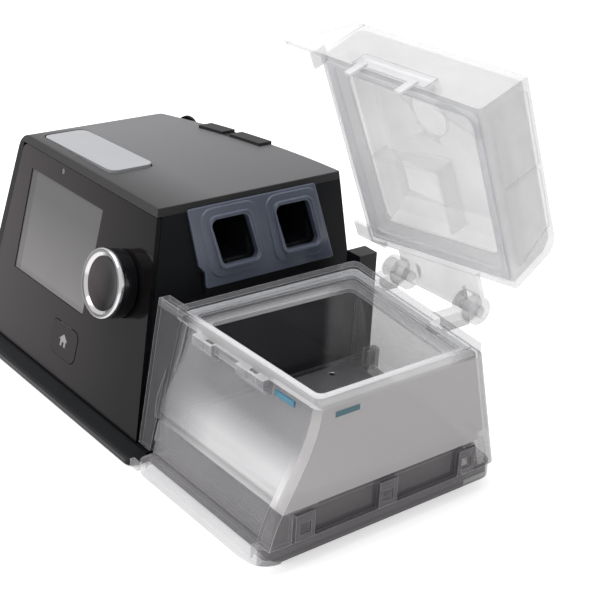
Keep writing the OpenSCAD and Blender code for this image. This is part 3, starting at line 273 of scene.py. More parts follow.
def mix_value(tree, factor, first, second):
    """A mix of two values, each a socket or a number."""
    mix = add(tree, "ShaderNodeMix")
    tree.links.new(factor, mix.inputs[0])
    feed(tree, mix.inputs[2], first)
    feed(tree, mix.inputs[3], second)
    return mix.outputs[0]


def blend(tree, factor, first, second, how="MIX"):
    """A mix of two colours, each a socket or three numbers."""
    mix = add(tree, "ShaderNodeMix", data_type="RGBA", blend_type=how)
    feed(tree, mix.inputs[0], factor)
    feed(tree, mix.inputs[6], first)
    feed(tree, mix.inputs[7], second)
    return mix.outputs[2]


def multiply(tree, first, *others):
    """The product of colours."""
    product = first
    for other in others:
        product = blend(tree, 1.0, product, other, "MULTIPLY")
    return product


def both(tree, first, *others):
    """1 where every mask is: their product."""
    product = first
    for other in others:
        product = math_node(tree, "MULTIPLY", product, other)
    return product


def either(tree, first, *others):
    """1 where any mask is: the largest of them."""
    largest = first
    for other in others:
        largest = math_node(tree, "MAXIMUM", largest, other)
    return largest


def ramp(tree, source, low, high, out_low=0.0, out_high=1.0):
    """Maps a value from one range to another, clamped."""
    node = tree.nodes.new("ShaderNodeMapRange")
    for key, value in (("From Min", low), ("From Max", high), ("To Min", out_low), ("To Max", out_high)):
        node.inputs[key].default_value = value
    tree.links.new(source, node.inputs["Value"])
    return node.outputs["Result"]


def object_place(tree):
    """The object coordinates, in metres."""
    return tree.nodes.new("ShaderNodeTexCoord").outputs["Object"]


def along(tree, axis):
    """One of the object coordinates, in metres."""
    split = tree.nodes.new("ShaderNodeSeparateXYZ")
    tree.links.new(object_place(tree), split.inputs["Vector"])
    return split.outputs[axis]


def border(tree, source, start, end):
    """0 before start and 1 past end of a length."""
    return ramp(tree, source, start * MM, end * MM)


def zone(tree, axis, start, end):
    """0 before start and 1 past end along an axis."""
    return border(tree, along(tree, axis), start, end)


def front_zone(tree, direction, start, end):
    """0 before start and 1 past end up or out of the leaning front, measured from its foot."""
    foot = FRONT_Y * direction[1]
    return border(tree, dot(tree, object_place(tree), direction), start + foot, end + foot)


def edges(tree, radius):
    """1 within a radius of a sharp edge and 0 on the flat."""
    soft = add(tree, "ShaderNodeBevel", samples=8, Radius=radius * MM)
    geometry = tree.nodes.new("ShaderNodeNewGeometry")
    return ramp(tree, dot(tree, soft.outputs["Normal"], geometry.outputs["Normal"]), *EDGE_TURN)


def grazing(tree, start, end):
    """1 where the surface is seen nearly along itself, as the rim of a glass is."""
    weight = tree.nodes.new("ShaderNodeLayerWeight")
    return ramp(tree, weight.outputs["Facing"], start, end)


def noise(tree, scale, detail=2.0, stretch=(1.0, 1.0, 1.0)):
    """Soft noise with about scale waves a metre, times the stretch along each axis."""
    mapping = add(tree, "ShaderNodeMapping", Scale=stretch)
    tree.links.new(object_place(tree), mapping.inputs["Vector"])
    node = add(tree, "ShaderNodeTexNoise", Scale=scale, Detail=detail)
    tree.links.new(mapping.outputs["Vector"], node.inputs["Vector"])
    return node.outputs["Fac"]


def paint(tree, shader, body):
    """Gives the shader its base colour."""
    tree.links.new(body, shader.inputs["Base Color"])


def shade(tree, source, base, spread):
    """A colour that varies a little, darker and lighter, with a value."""
    return blend(tree, source, scaled(base, 1 - spread), scaled(base, 1 + spread))


def polish(tree, shader, source, smooth, rough, low=NOISE_LOW, high=NOISE_HIGH):
    """Lets the roughness drift between two values as a noise goes from low to high."""
    tree.links.new(ramp(tree, source, low, high, smooth, rough), shader.inputs["Roughness"])


def bump(tree, shader, height, strength, distance):
    """Raises the surface by a value, over a distance in millimetres."""
    node = add(tree, "ShaderNodeBump", Strength=strength, Distance=distance * MM)
    tree.links.new(height, node.inputs["Height"])
    tree.links.new(node.outputs["Normal"], shader.inputs["Normal"])


# ---- Materials ----

def satin_plastic(name, base, roughness, grain=0.25, scale=2600.0, gleam=0.45):
    """Moulded plastic with a fine spark-eroded grain."""
    material, tree, shader = principled(name, base, roughness, Specular_IOR_Level=gleam)
    fine = noise(tree, scale, detail=3.0)
    paint(tree, shader, shade(tree, noise(tree, 45.0), base, 0.06))
    polish(tree, shader, fine, roughness - 0.05, roughness + 0.07, low=0.35, high=0.65)
    bump(tree, shader, fine, grain, 0.06)
    return material


def cover_plastic(name, base):
    """Textured grey of the top: darker towards its front, under a painted sheen that grows towards the
    back, and darker towards the tank, as painted shade; darker too on its sides and ridge.
    """
    material, tree, shader = principled(name, base, 0.55, Specular_IOR_Level=0.3)
    grain = noise(tree, 1700.0, detail=3.0)
    # Painted light: painted shade deepens towards the tank, and a painted sheen grows from the front to
    # the back
    painted_shade_to_tank = blend(tree, zone(tree, "X", *COVER_X), scaled(base, 1.05), scaled(base, 0.62))
    painted_sheen_to_back = blend(tree, zone(tree, "Y", *COVER_Y), grey(0.30), grey(1.0))
    speck = blend(tree, grain, grey(0.86), grey(1.12))
    ridge_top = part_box("top_cover")[1][2] / MM
    top = ridge_top - RIDGE_H
    side = both(tree, zone(tree, "Z", top, top - RIDGE_SOFT),
                zone(tree, "Z", *(ridge_top - deep for deep in COVER_SIDE_DEEP)))
    ridge = zone(tree, "Z", top + RIDGE_SOFT, top + 2 * RIDGE_SOFT)
    dark = either(tree, side, ridge, zone(tree, "Y", *COVER_FRONT_EDGE_Y))
    paint(tree, shader, blend(tree, dark, multiply(tree, painted_shade_to_tank, painted_sheen_to_back, speck), scaled(base, 0.10)))
    bump(tree, shader, grain, 0.8, 0.06)
    return material


def window_glass(name, base):
    """Dark glass over the display, painted lighter towards its foot as painted light, with a darker frame
    at its left and foot.
    """
    material, tree, shader = principled(name, base, 0.20, Specular_IOR_Level=0.25)
    low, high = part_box("screen_lens")
    left = low[0] / MM
    foot, head = low[2] / MM / FRONT_UP[2] + WINDOW_FOOT, high[2] / MM / FRONT_UP[2]
    # Painted light: the glass is painted lighter towards its foot
    painted_light_rise = blend(tree, front_zone(tree, FRONT_UP, foot, head - WINDOW_HEAD),
                 scaled(base, 1.55), scaled(base, 0.80))
    cloud = blend(tree, noise(tree, 38.0, detail=1.0), grey(0.94), grey(1.06))
    frame_left = zone(tree, "X", *(left + width for width in WINDOW_FRAME_LEFT))
    frame_low = front_zone(tree, FRONT_UP, *(foot + width for width in WINDOW_FRAME_LOW))
    paint(tree, shader, multiply(tree, painted_light_rise, cloud, blend(tree, frame_left, grey(0.72), grey(1.0)),
                                 blend(tree, frame_low, grey(0.85), grey(1.0))))
    polish(tree, shader, noise(tree, 900.0), 0.19, 0.23)
    return material


def home_gloss(name, base):
    """Gloss of the home button, with a pale house and a painted highlight along its edge."""
    material, tree, shader = principled(name, base, 0.12, Specular_IOR_Level=0.08)
    low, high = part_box("home_button")
    middle = (low[0] + high[0]) / 2 / MM
    house = both(tree, front_zone(tree, FRONT_OUT, *HOUSE_OVER),
                 front_zone(tree, FRONT_OUT, *HOUSE_UNDER),
                 zone(tree, "X", *(middle - half for half in HOUSE_HALF)),
                 zone(tree, "X", *(middle + half for half in HOUSE_HALF)))
    wave = shade(tree, noise(tree, 55.0, detail=1.0), base, 0.05)
    # A painted highlight along the button's rounded edge
    edge_highlighted = blend(tree, edges(tree, radius=0.45), wave, BUTTON_EDGE_HIGHLIGHT)
    paint(tree, shader, blend(tree, house, edge_highlighted, HOUSE_PALE))
    return material


def seal_silicone(name, base):
    """Blue grey silicone, with a painted highlight on its thin edges and a painted sheen where it is seen
    along itself.
    """
    material, tree, shader = principled(name, base, 0.26, Coat_Weight=0.25, Coat_Roughness=0.12)
    body = blend(tree, noise(tree, 60.0), scaled(base, 0.72), scaled(base, 1.25))
    # Painted highlight on the thin edges, and painted sheen where the seal is seen along itself
    pale = scaled(base, 3.2, lift=0.05)
    body = blend(tree, both(tree, edges(tree, radius=1.3), 0.75), body, pale)
    body = blend(tree, both(tree, grazing(tree, 0.55, 0.95), 0.6), body, pale)
    paint(tree, shader, body)
    bump(tree, shader, noise(tree, 260.0), 0.12, 0.1)
    return material


def gloss_with_painted_reflection(name, left, right, start, end, roughness):
    """Polished front moulding with a painted reflection: its colour goes from one value to another along
    X.
    """
    material, tree, shader = principled(name, left, roughness, Specular_IOR_Level=0.08)
    wave = blend(tree, noise(tree, 55.0, detail=1.0), grey(0.95), grey(1.05))
    # A painted reflection: lighter at one end along X, darker at the other
    across = blend(tree, zone(tree, "X", start, end), left, right)
    paint(tree, shader, multiply(tree, across, wave))
    polish(tree, shader, noise(tree, 900.0), roughness, roughness + 0.03)
    return material


def dial_chrome(name, base):
    """Polished ring with a painted dark reflection band between two bright bands."""
    material, tree, shader = principled(name, base, 0.12, Metallic=1.0)
    across = math_node(tree, "SUBTRACT", along(tree, "X"), DIAL_X * MM)
    up = math_node(tree, "SUBTRACT", dot(tree, object_place(tree), FRONT_UP),
                   (DIAL_V + FRONT_Y * FRONT_UP[1]) * MM)
    square = math_node(tree, "ADD", both(tree, across, across), both(tree, up, up))
    radius = math_node(tree, "POWER", square, 0.5)
    # A painted dark reflection, as a band round the ring
    painted_reflection_band = both(tree, border(tree, radius, *RING_REFLECTION_BAND_INNER), border(tree, radius, *RING_REFLECTION_BAND_OUTER))
    paint(tree, shader, blend(tree, painted_reflection_band, base, scaled(base, 0.30)))
    polish(tree, shader, noise(tree, 700.0, detail=3.0), 0.08, 0.16)
    return material


def gloss_plastic(name, base, roughness, coat):
    """Polished plastic: a faint waviness and a clear coat."""
    material, tree, shader = principled(name, base, roughness, Coat_Weight=coat, Coat_Roughness=0.03)
    wave = noise(tree, 55.0, detail=1.0)
    paint(tree, shader, shade(tree, wave, base, 0.05))
    polish(tree, shader, noise(tree, 900.0), roughness, roughness + 0.03)
    bump(tree, shader, wave, 0.05, 0.2)
    return material


def brushed_metal(name, base, roughness=0.35):
    """Metal with fine lines, set close together along Y."""
    material, tree, shader = principled(name, base, roughness, Metallic=1.0)
    lines = noise(tree, 700.0, detail=3.0, stretch=(1.0, 14.0, 1.0))
    paint(tree, shader, shade(tree, lines, base, 0.10))
    polish(tree, shader, lines, roughness - 0.08, roughness + 0.1)
    bump(tree, shader, lines, 0.08, 0.05)
    return material


def foam(name, base):
    """Open foam or paper with visible pores."""
    material, tree, shader = principled(name, base, 0.9, Sheen_Weight=0.2, Sheen_Roughness=0.6)
    pores = noise(tree, 1400.0, detail=4.0)
    paint(tree, shader, shade(tree, pores, base, 0.35))
    bump(tree, shader, pores, 0.6, 0.4)
    return material


def clear_plastic(name, base, roughness, haze, drift, rim=None, lip=None, zones=(), tint=grey(1.0)):
    """See-through moulding: a haze that varies softly, with zones of another colour and haze.

    A rim is the colour and haze of a wall seen nearly along itself. A lip is the colour, haze and
    radius of the edges. Each zone is a function that makes its mask, its colour and its haze.
    """
    material, tree, shader = principled(name, base, roughness, IOR=1.49, Coat_Weight=0.15,
                                        Coat_Roughness=0.08)
    cloud = noise(tree, 38.0)
    body = shade(tree, cloud, tinted(base, tint), 0.03)
    cover = ramp(tree, cloud, NOISE_LOW, NOISE_HIGH, haze - drift, haze + drift)
    layers = [(mask_of(tree), *values) for mask_of, *values in zones]
    if rim:
        layers.append((grazing(tree, *WALL_GRAZED), *rim))
    if lip:
        lip_colour, lip_haze, lip_radius = lip
        layers.append((edges(tree, lip_radius), lip_colour, lip_haze))
    for mask, layer_colour, layer_haze in layers:
        body = blend(tree, mask, body, tinted(layer_colour, tint))
        cover = mix_value(tree, mask, cover, layer_haze)
    paint(tree, shader, body)
    tree.links.new(cover, shader.inputs["Alpha"])
    return material


# ---- Zones of the tank ----

def front_wall(tree):
    """The tank's front wall, past the wing."""
    return both(tree, zone(tree, "Y", *FRONT_WALL_Y), zone(tree, "X", *PAST_WING_X))


def lit_band(tree):
    """Low on the front wall, where it swings out and catches the light."""
    return both(tree, zone(tree, "Z", *LIT_BAND_Z), zone(tree, "X", *LIT_BAND_X), front_wall(tree))


def right_wall(tree):
    """The tank's right wall."""
    return zone(tree, "X", *RIGHT_WALL_X)


def low_right(tree):
    """The right wall under its shelf, where the dark base stands behind it."""
    return both(tree, zone(tree, "X", *LOW_RIGHT_X), zone(tree, "Z", *LOW_RIGHT_Z))


def low_front(tree):
    """The front wall under its shelf."""
    return both(tree, front_wall(tree), zone(tree, "Z", *LOW_FRONT_Z))


def back_wall(tree):
    """The tank's back wall."""
    return zone(tree, "Y", *BACK_WALL_Y)


def rim_band(tree):
    """The rim round the tank's mouth."""
    return zone(tree, "Z", *RIM_Z)


def rim_by_machine(tree):
    """The rim at the back and at the left, where the dark machine stands behind it."""
    behind = either(tree, zone(tree, "Y", *RIM_BACK_Y), zone(tree, "X", *RIM_LEFT_X))
    return both(tree, rim_band(tree), behind)


# ---- Finishes, by the record's names for them; the lid's tray and pins have their own ----

FINISH = {}


def machine_finishes(colours):
    """Finishes of the machine's outer pieces."""
    return {
        "black_shell": satin_plastic("housing_satin_black", colours.shell, 0.40,
                                     grain=0.22, scale=2400.0, gleam=0.12),
        "base_black": satin_plastic("base_satin_black", colours.shell, 0.34,
                                    grain=0.15, scale=2400.0, gleam=0.2),
        "cover_grey": cover_plastic("cover_textured_grey", colours.cover),
        "panel_gloss": gloss_with_painted_reflection("panel_gloss_brown_black", scaled(colours.panel, 6.5),
                                   scaled(colours.panel, 0.7), *PANEL_X, roughness=0.10),
        "screen_glass": window_glass("display_window_grey", colours.screen),
        "sensor_black": gloss_plastic("sensor_lens", (0.004, 0.004, 0.005), roughness=0.05, coat=0.8),
        "button_gloss": home_gloss("home_button_gloss", scaled(colours.panel, 3.0)),
        "button_grey": satin_plastic("start_button_silver", colours.start, 0.36, grain=0.15, scale=3200.0),
        "knob_black": gloss_plastic("dial_black", (0.006, 0.006, 0.0075), roughness=0.16, coat=0.3),
        "knob_chrome": dial_chrome("dial_ring_polished", colours.chrome),
        "knob_face": gloss_with_painted_reflection("dial_face", scaled(colours.panel, 12.0), scaled(colours.panel, 0.5),
                                 *DIAL_FACE_X, roughness=0.16),
        "silicone": seal_silicone("seal_silicone", colours.silicone),
        "duct_black": satin_plastic("duct_black", (0.010, 0.0105, 0.0135), 0.30, grain=0.12),
        "foot_rubber": satin_plastic("foot_rubber", colours.rubber, 0.75, grain=0.4, scale=1200.0),
    }


def inner_finishes(colours):
    """Finishes of what the housing hides, and of pins, screws and the heater."""
    return {
        "display_dark": satin_plastic("display_frame", (0.03, 0.03, 0.035), 0.5),
        "steel": brushed_metal("pin_steel", colours.steel, 0.28),
        "board_green": satin_plastic("board_green", (0.015, 0.12, 0.045), 0.35, grain=0.1, scale=500.0),
        "inner_grey": satin_plastic("inner_grey", (0.09, 0.095, 0.10), 0.5),
        "motor_metal": brushed_metal("motor_can", (0.45, 0.45, 0.47)),
        "impeller_white": satin_plastic("impeller_nylon", (0.62, 0.62, 0.64), 0.4, grain=0.1),
        "foam_grey": foam("silencer_foam", (0.07, 0.075, 0.08)),
        "filter_white": foam("filter_paper", (0.72, 0.72, 0.70)),
        "heater_metal": brushed_metal("heater_anodised", (0.58, 0.59, 0.60)),
        "pad_brown": satin_plastic("heater_film", (0.22, 0.07, 0.045), 0.4),
    }


def tank_finishes(colours):
    """Finishes of the tank, its floor and its level marks."""
    tub_zones = (
        (back_wall, (0.29, 0.285, 0.29), 0.46),
        (front_wall, (0.37, 0.365, 0.38), 0.38),
        (lit_band, (0.88, 0.87, 0.88), 0.42),
        (right_wall, (0.46, 0.442, 0.448), 0.74),
        (low_front, (0.32, 0.315, 0.33), 0.34),
        (low_right, (0.17, 0.155, 0.165), 0.42),
        (rim_band, (0.78, 0.77, 0.78), 0.42),
        (rim_by_machine, (0.24, 0.235, 0.25), 0.32),
    )
    return {
        "tank_clear": clear_plastic(
            "tank_clear", (0.080, 0.077, 0.087), 0.14, haze=0.27, drift=0.02,
            # The lip's pale colour is a painted highlight along the tank's edges
            rim=((0.45, 0.45, 0.47), 0.6), lip=((0.90, 0.895, 0.91), 0.66, 0.5),
            zones=tub_zones, tint=colours.tank),
        "tank_base_clear": clear_plastic(
            "tank_tray_clear", (0.37, 0.36, 0.38), 0.12, haze=0.29, drift=0.03,
            # The lip's pale colour is a painted highlight along the tray's edges
            rim=((0.40, 0.39, 0.41), 0.6), lip=((0.80, 0.79, 0.81), 0.60, 0.5),
            zones=((right_wall, (0.13, 0.12, 0.13), 0.56),), tint=colours.tank),
        "gasket_grey": clear_plastic(
            "seal_soft_clear", (0.88, 0.90, 0.94), 0.35, haze=0.20, drift=0.02,
            lip=((0.90, 0.92, 0.95), 0.5, 0.6), tint=colours.tank),
        "plate_metal": brushed_metal("tank_floor_steel", (0.62, 0.62, 0.65), 0.34),
        "mark_blue": gloss_plastic("mark_bright_blue", colours.front_mark, roughness=0.3, coat=0.2),
        "mark_teal": gloss_plastic("mark_dark_teal", colours.side_mark, roughness=0.3, coat=0.2),
    }


def lid_finishes(colours):
    """Finishes of the lid, its tray, its latch and its pins."""
    return {
        "lid_clear": clear_plastic(
            "lid_frosted", colours.frost, 0.30, haze=0.41, drift=0.04,
            rim=((0.36, 0.36, 0.38), 0.55), lip=((0.44, 0.435, 0.455), 0.52, 0.9)),
        "lid_tray_clear": clear_plastic(
            "lid_tray_frosted", scaled(colours.frost, 1.30), 0.30, haze=0.14, drift=0.02,
            rim=((0.60, 0.60, 0.63), 0.26), lip=((0.48, 0.49, 0.52), 0.36, 0.9)),
        "latch_clear": clear_plastic(
            "latch_frosted", scaled(colours.frost, 1.25), 0.25, haze=0.42, drift=0.04,
            rim=((0.40, 0.40, 0.42), 0.6), lip=((0.45, 0.45, 0.47), 0.6, 0.7)),
        "pin_clear": clear_plastic(
            "hinge_pin_clear", scaled(colours.frost, 1.25), 0.15, haze=0.26, drift=0.03,
            rim=((0.45, 0.45, 0.47), 0.5), lip=((0.40, 0.40, 0.42), 0.6, 0.8)),
    }


def body_of(node):
    """The body that carries a node."""
    return next(body for body, members in BODIES.items() if node in members)


def dress(piece, finish):
    """Gives a piece one finish."""
    piece.data.materials.clear()
    piece.data.materials.append(FINISH[finish])


# ---- Modelling helpers ----

def only(piece):
    """Selects one object and makes it active, in object mode."""
    if bpy.context.object and bpy.context.object.mode != "OBJECT":
        bpy.ops.object.mode_set(mode="OBJECT")
    bpy.ops.object.select_all(action="DESELECT")
    piece.select_set(True)
    bpy.context.view_layer.objects.active = piece


def edit(piece):
    """Opens a piece in edit mode with all its corners selected."""
    only(piece)
    bpy.ops.object.mode_set(mode="EDIT")
    bpy.ops.mesh.select_mode(type="VERT")
    bpy.ops.mesh.select_all(action="SELECT")


def apply_all(piece):
    """Applies every modifier in order."""
    only(piece)
    for modifier in list(piece.modifiers):
        bpy.ops.object.modifier_apply(modifier=modifier.name)


def loose_copy(node, name):
    """A copy of a CAD node as a piece of its own, tied to nothing."""
    piece = NODES[node].copy()
    piece.data = NODES[node].data.copy()
    for key in [k for k in piece.keys() if k.startswith("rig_")]:
        del piece[key]
    piece.parent = None
    piece.name = piece.data.name = name
    bpy.context.scene.collection.objects.link(piece)
    return piece


def rounded_copy(node, name, radius, segments=2, angle=ROUND_ANGLE, faceted=False, finish=None):
    """A copy of a CAD node with its sharp edges rounded; it then stands for the node."""
    piece = loose_copy(node, name)
    dress(piece, finish or SLOTS[node])
    edit(piece)
    bpy.ops.mesh.remove_doubles(threshold=SAME_PLACE * MM)
    bpy.ops.mesh.dissolve_limited(angle_limit=math.radians(FLAT_ANGLE))
    bpy.ops.object.mode_set(mode="OBJECT")
    bevel = piece.modifiers.new("edges", "BEVEL")
    bevel.width = radius
    bevel.segments = segments
    bevel.limit_method = "ANGLE"
    bevel.angle_limit = math.radians(angle)
    bevel.use_clamp_overlap = True
    bevel.miter_outer = "MITER_ARC"
    apply_all(piece)
    edit(piece)
    bpy.ops.mesh.remove_doubles(threshold=SAME_PLACE * MM)
    bpy.ops.mesh.dissolve_degenerate(threshold=SAME_PLACE * MM)
    bpy.ops.object.mode_set(mode="OBJECT")
    if faceted:
        bpy.ops.object.shade_flat()
    else:
        bpy.ops.object.shade_smooth_by_angle(angle=math.radians(SMOOTH_ANGLE))
        flat = piece.modifiers.new("flat faces", "WEIGHTED_NORMAL")
        flat.keep_sharp = True
        flat.weight = 100
        apply_all(piece)
    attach(piece, body_of(node))
    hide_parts(node)


def clear_copy(node, name, radius, angle=ROUND_ANGLE, finish=None):
    """A rounded copy of a see-through node, whose facets stay flat so that its edges show."""
    rounded_copy(node, name, radius, angle=angle, faceted=True, finish=finish)


def front_matrix(across, up):
    """Place on the leaning front: X along it, Y up its slope and Z out of it."""
    turn = Matrix.Rotation(math.radians(90) - FRONT_LEAN, 4, "X")
    base = Matrix.Translation(Vector((0, FRONT_Y * MM, 0)))
    return base @ turn @ Matrix.Translation(Vector((across, up, 0.0)) * MM)


def turned(node, name, outline):
    """A piece of the dial, turned from its outline; it then stands for its node."""
    points = [Vector((radius, 0, height)) * MM for radius, height in outline]
    bpy.ops.object.select_all(action="DESELECT")
    bpy.ops.mesh.primitive_plane_add(size=MM, calc_uvs=False, location=(0, 0, 0))
    piece = bpy.context.object
    piece.name = piece.data.name = name
    edit(piece)
    bpy.ops.mesh.merge(type="CENTER")
    bpy.ops.transform.translate(value=points[0])
    for start, end in zip(points, points[1:]):
        bpy.ops.mesh.extrude_region_move(TRANSFORM_OT_translate={"value": end - start})
    bpy.ops.mesh.select_all(action="SELECT")
    steps = bpy.context.scene.air_machine_sizes.dial_steps
    bpy.ops.mesh.spin(steps=steps, angle=math.tau, center=(0, 0, 0), axis=(0, 0, 1))
    bpy.ops.mesh.select_all(action="SELECT")
    bpy.ops.mesh.remove_doubles(threshold=SAME_PLACE / 2 * MM)
    bpy.ops.mesh.normals_make_consistent(inside=False)
    bpy.ops.object.mode_set(mode="OBJECT")
    bpy.ops.object.shade_smooth_by_angle(angle=math.radians(DIAL_SMOOTH_ANGLE))
    piece.matrix_world = front_matrix(DIAL_X, DIAL_V) @ piece.matrix_world
    bpy.ops.object.transform_apply(location=True, rotation=True, scale=True)
    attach(piece, body_of(node))
    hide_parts(node)
    dress(piece, SLOTS[node])


# ---- Pieces ----

class AIRMACHINE_OT_finishes(bpy.types.Operator):
    """Make the finishes and give one to every node that keeps its own shape"""
    bl_idname = "airmachine.finishes"
    bl_label = "Finishes"

    def execute(self, context):
        colours = context.scene.air_machine_colours
        for finishes_of in (machine_finishes, inner_finishes, tank_finishes, lid_finishes):
            FINISH.update(finishes_of(colours))
        for node, piece in NODES.items():
            dress(piece, SLOTS[node])
        return {"FINISHED"}


class AIRMACHINE_OT_housing(bpy.types.Operator):
    """Base pan, housing, top cover, front panel, window and buttons with rounded edges"""
    bl_idname = "airmachine.housing"
    bl_label = "Housing"

    def execute(self, context):
        sizes = context.scene.air_machine_sizes
        rounded_copy("base_pan", "Base_Pan", sizes.base_edge)
        rounded_copy("main_shell", "Housing", sizes.shell_edge)
        rounded_copy("top_cover", "Top_Cover", sizes.cover_edge, segments=3)
        rounded_copy("front_panel", "Front_Panel", sizes.panel_edge, segments=3)
        rounded_copy("start_button", "Start_Button", sizes.start_edge, segments=3)
        rounded_copy("home_button", "Home_Button", sizes.small_edge, segments=3)
        rounded_copy("screen_lens", "Display_Window", sizes.window_edge)
        return {"FINISHED"}


class AIRMACHINE_OT_dial(bpy.types.Operator):
    """Dial with a black body, a crowned bright ring and a dished face"""
    bl_idname = "airmachine.dial"
    bl_label = "Dial"

    def execute(self, context):
        turned("knob_body", "Dial_Body", DIAL_BODY)
        turned("knob_ring", "Dial_Ring", DIAL_RING)
        turned("knob_face", "Dial_Face", DIAL_FACE)
        return {"FINISHED"}


class AIRMACHINE_OT_air_side(bpy.types.Operator):
    """Port seal, hose spigot with its cup, filter cover and power inlet"""
    bl_idname = "airmachine.air_side"
    bl_label = "Air side"

    def execute(self, context):
        sizes = context.scene.air_machine_sizes
        rounded_copy("port_seal", "Port_Seal", sizes.seal_edge, segments=3)
        rounded_copy("outlet_cup", "Outlet_Cup", sizes.small_edge)
        rounded_copy("air_outlet", "Hose_Spigot", sizes.small_edge)
        rounded_copy("filter_cover", "Filter_Cover", sizes.small_edge)
        rounded_copy("power_inlet", "Power_Inlet", sizes.small_edge)
        return {"FINISHED"}


class AIRMACHINE_OT_tank(bpy.types.Operator):
    """Tank tub, its tray, its metal floor and the seal round its mouth"""
    bl_idname = "airmachine.tank"
    bl_label = "Tank"

    def execute(self, context):
        sizes = context.scene.air_machine_sizes
        clear_copy("tank_tub", "Tank_Tub", sizes.tank_edge, CLEAR_ROUND_ANGLE)
        clear_copy("tank_base", "Tank_Tray", sizes.tank_edge, CLEAR_ROUND_ANGLE)
        rounded_copy("tank_plate", "Tank_Floor", sizes.small_edge)
        clear_copy("rim_gasket", "Rim_Seal", sizes.small_edge)
        return {"FINISHED"}


class AIRMACHINE_OT_lid(bpy.types.Operator):
    """Lid, its tray, its seal, its latch and its two hinge pins"""
    bl_idname = "airmachine.lid"
    bl_label = "Lid"

    def execute(self, context):
        sizes = context.scene.air_machine_sizes
        clear_copy("lid_shell", "Lid_Outer", sizes.lid_edge, CLEAR_ROUND_ANGLE)
        clear_copy("lid_inner", "Lid_Tray", sizes.small_edge, finish="lid_tray_clear")
        clear_copy("lid_gasket", "Lid_Seal", sizes.small_edge)
        clear_copy("lid_latch", "Lid_Latch", sizes.small_edge)
        clear_copy("hinge_pin_left", "Hinge_Pin_Left", sizes.small_edge, finish="pin_clear")
        clear_copy("hinge_pin_right", "Hinge_Pin_Right", sizes.small_edge, finish="pin_clear")
        return {"FINISHED"}


# ---- Stage ----

def camera_matrix():
    """Where the camera stands and looks, in the machine's frame."""
    azimuth, elevation, roll = (math.radians(v) for v in CAMERA_TURN)
    back = Vector((math.sin(azimuth) * math.cos(elevation), -math.cos(azimuth) * math.cos(elevation),
                   math.sin(elevation)))
    right = (-back).cross(Vector((0, 0, 1))).normalized()
    up = right.cross(-back)
    across = right * math.cos(roll) + up * math.sin(roll)
    upward = up * math.cos(roll) - right * math.sin(roll)
    matrix = Matrix((across, upward, back)).transposed().to_4x4()
    matrix.translation = Vector(CAMERA_AT) * MM
    return matrix


def seen_rays(tree):
    """1 for rays from the camera and for those that metal and glass send on."""
    path = tree.nodes.new("ShaderNodeLightPath")
    mirrored = either(tree, path.outputs["Is Glossy Ray"], path.outputs["Is Transmission Ray"])
    return either(tree, path.outputs["Is Camera Ray"], mirrored)


def shown_or_lit(tree, lit, shown, output):
    """One shader where the floor or sky is lit or lights, and another where it is seen."""
    choice = tree.nodes.new("ShaderNodeMixShader")
    tree.links.new(seen_rays(tree), choice.inputs[0])
    tree.links.new(lit.outputs[0], choice.inputs[1])
    tree.links.new(shown.outputs[0], choice.inputs[2])
    tree.links.new(choice.outputs[0], output.inputs["Surface"])


def floor_material(base):
    """Plain diffuse floor that also glows where the camera, glass or metal sees it."""
    material = bpy.data.materials.new("floor_white")
    material.use_nodes = True
    tree = material.node_tree
    tree.nodes.clear()
    output = tree.nodes.new("ShaderNodeOutputMaterial")
    diffuse = add(tree, "ShaderNodeBsdfDiffuse", Color=(*grey(FLOOR_GREY), 1.0))
    glow = add(tree, "ShaderNodeEmission", Color=(*base, 1.0), Strength=FLOOR_GLOW)
    glowing = tree.nodes.new("ShaderNodeAddShader")
    tree.links.new(diffuse.outputs[0], glowing.inputs[0])
    tree.links.new(glow.outputs[0], glowing.inputs[1])
    shown_or_lit(tree, diffuse, glowing, output)
    return material


def studio_world(base, strength):
    """Plain light from all round, in the colour of the floor where it is seen."""
    world = bpy.data.worlds.new("studio")
    world.use_nodes = True
    tree = world.node_tree
    tree.nodes.clear()
    output = tree.nodes.new("ShaderNodeOutputWorld")
    sky = add(tree, "ShaderNodeBackground", Color=(1, 1, 1, 1), Strength=strength)
    backdrop = add(tree, "ShaderNodeBackground", Color=(*base, 1.0), Strength=1.0)
    shown_or_lit(tree, sky, backdrop, output)
    return world


def area_light(name, power, place, aim, size):
    """A soft light at a place, aimed at a point."""
    bpy.ops.object.light_add(type="AREA", location=place)
    light = bpy.context.object
    light.name = name
    light.data.shape = "RECTANGLE"
    light.data.size, light.data.size_y = size
    light.data.energy = power
    light.rotation_euler = (Vector(aim) - Vector(place)).to_track_quat("-Z", "Y").to_euler()


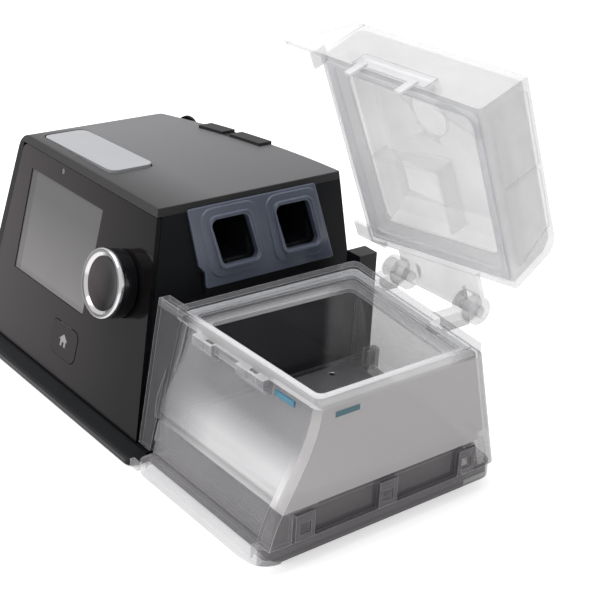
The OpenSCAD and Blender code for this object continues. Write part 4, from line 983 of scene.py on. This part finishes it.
class AIRMACHINE_OT_stage(bpy.types.Operator):
    """Pale floor, soft lights and the camera"""
    bl_idname = "airmachine.stage"
    bl_label = "Stage"

    def execute(self, context):
        settings = context.scene.air_machine_stage
        bpy.ops.object.select_all(action="DESELECT")
        bpy.ops.mesh.primitive_plane_add(size=FLOOR_SIZE, location=(0, 0, 0))
        floor = context.object
        floor.name = "Floor"
        floor.data.materials.append(floor_material(settings.floor))
        area_light("Key", settings.key, *KEY_LIGHT)
        area_light("Fill", settings.fill, *FILL_LIGHT)
        context.scene.world = studio_world(settings.floor, settings.sky)
        bpy.ops.object.camera_add()
        camera = context.object
        camera.name = "Camera"
        camera.data.sensor_width = 36.0
        camera.data.lens = settings.lens
        camera.data.clip_start = 0.01
        camera.matrix_world = camera_matrix()
        context.scene.camera = camera
        context.scene.view_settings.view_transform = "Standard"
        return {"FINISHED"}


# ---- Panel and registration ----

PIECE_OPERATORS = (AIRMACHINE_OT_finishes, AIRMACHINE_OT_housing, AIRMACHINE_OT_dial,
                   AIRMACHINE_OT_air_side, AIRMACHINE_OT_tank, AIRMACHINE_OT_lid, AIRMACHINE_OT_stage)
GROUPS = {"air_machine_sizes": AirMachineSizes, "air_machine_colours": AirMachineColours,
          "air_machine_stage": AirMachineStage}


class AIRMACHINE_PT_panel(bpy.types.Panel):
    """Lists the machine's pieces and settings"""
    bl_idname = "AIRMACHINE_PT_panel"
    bl_label = "Air machine"
    bl_space_type = "VIEW_3D"
    bl_region_type = "UI"
    bl_category = "Air machine"

    def draw(self, context):
        for operator in PIECE_OPERATORS:
            self.layout.operator(operator.bl_idname)
        for name, group in GROUPS.items():
            for key in group.__annotations__:
                self.layout.prop(getattr(context.scene, name), key)


def register():
    """Registers the settings, the operators and the panel."""
    for name, group in GROUPS.items():
        bpy.utils.register_class(group)
        setattr(bpy.types.Scene, name, PointerProperty(type=group))
    for operator in PIECE_OPERATORS:
        bpy.utils.register_class(operator)
    bpy.utils.register_class(AIRMACHINE_PT_panel)


def unregister():
    """Takes them away again."""
    bpy.utils.unregister_class(AIRMACHINE_PT_panel)
    for operator in reversed(PIECE_OPERATORS):
        bpy.utils.unregister_class(operator)
    for name, group in GROUPS.items():
        delattr(bpy.types.Scene, name)
        bpy.utils.unregister_class(group)


def main():
    """Makes the finishes, the pieces and the stage."""
    register()
    bpy.ops.airmachine.finishes()
    bpy.ops.airmachine.housing()
    bpy.ops.airmachine.dial()
    bpy.ops.airmachine.air_side()
    bpy.ops.airmachine.tank()
    bpy.ops.airmachine.lid()
    bpy.ops.airmachine.stage()


if __name__ == "__main__":
    main()
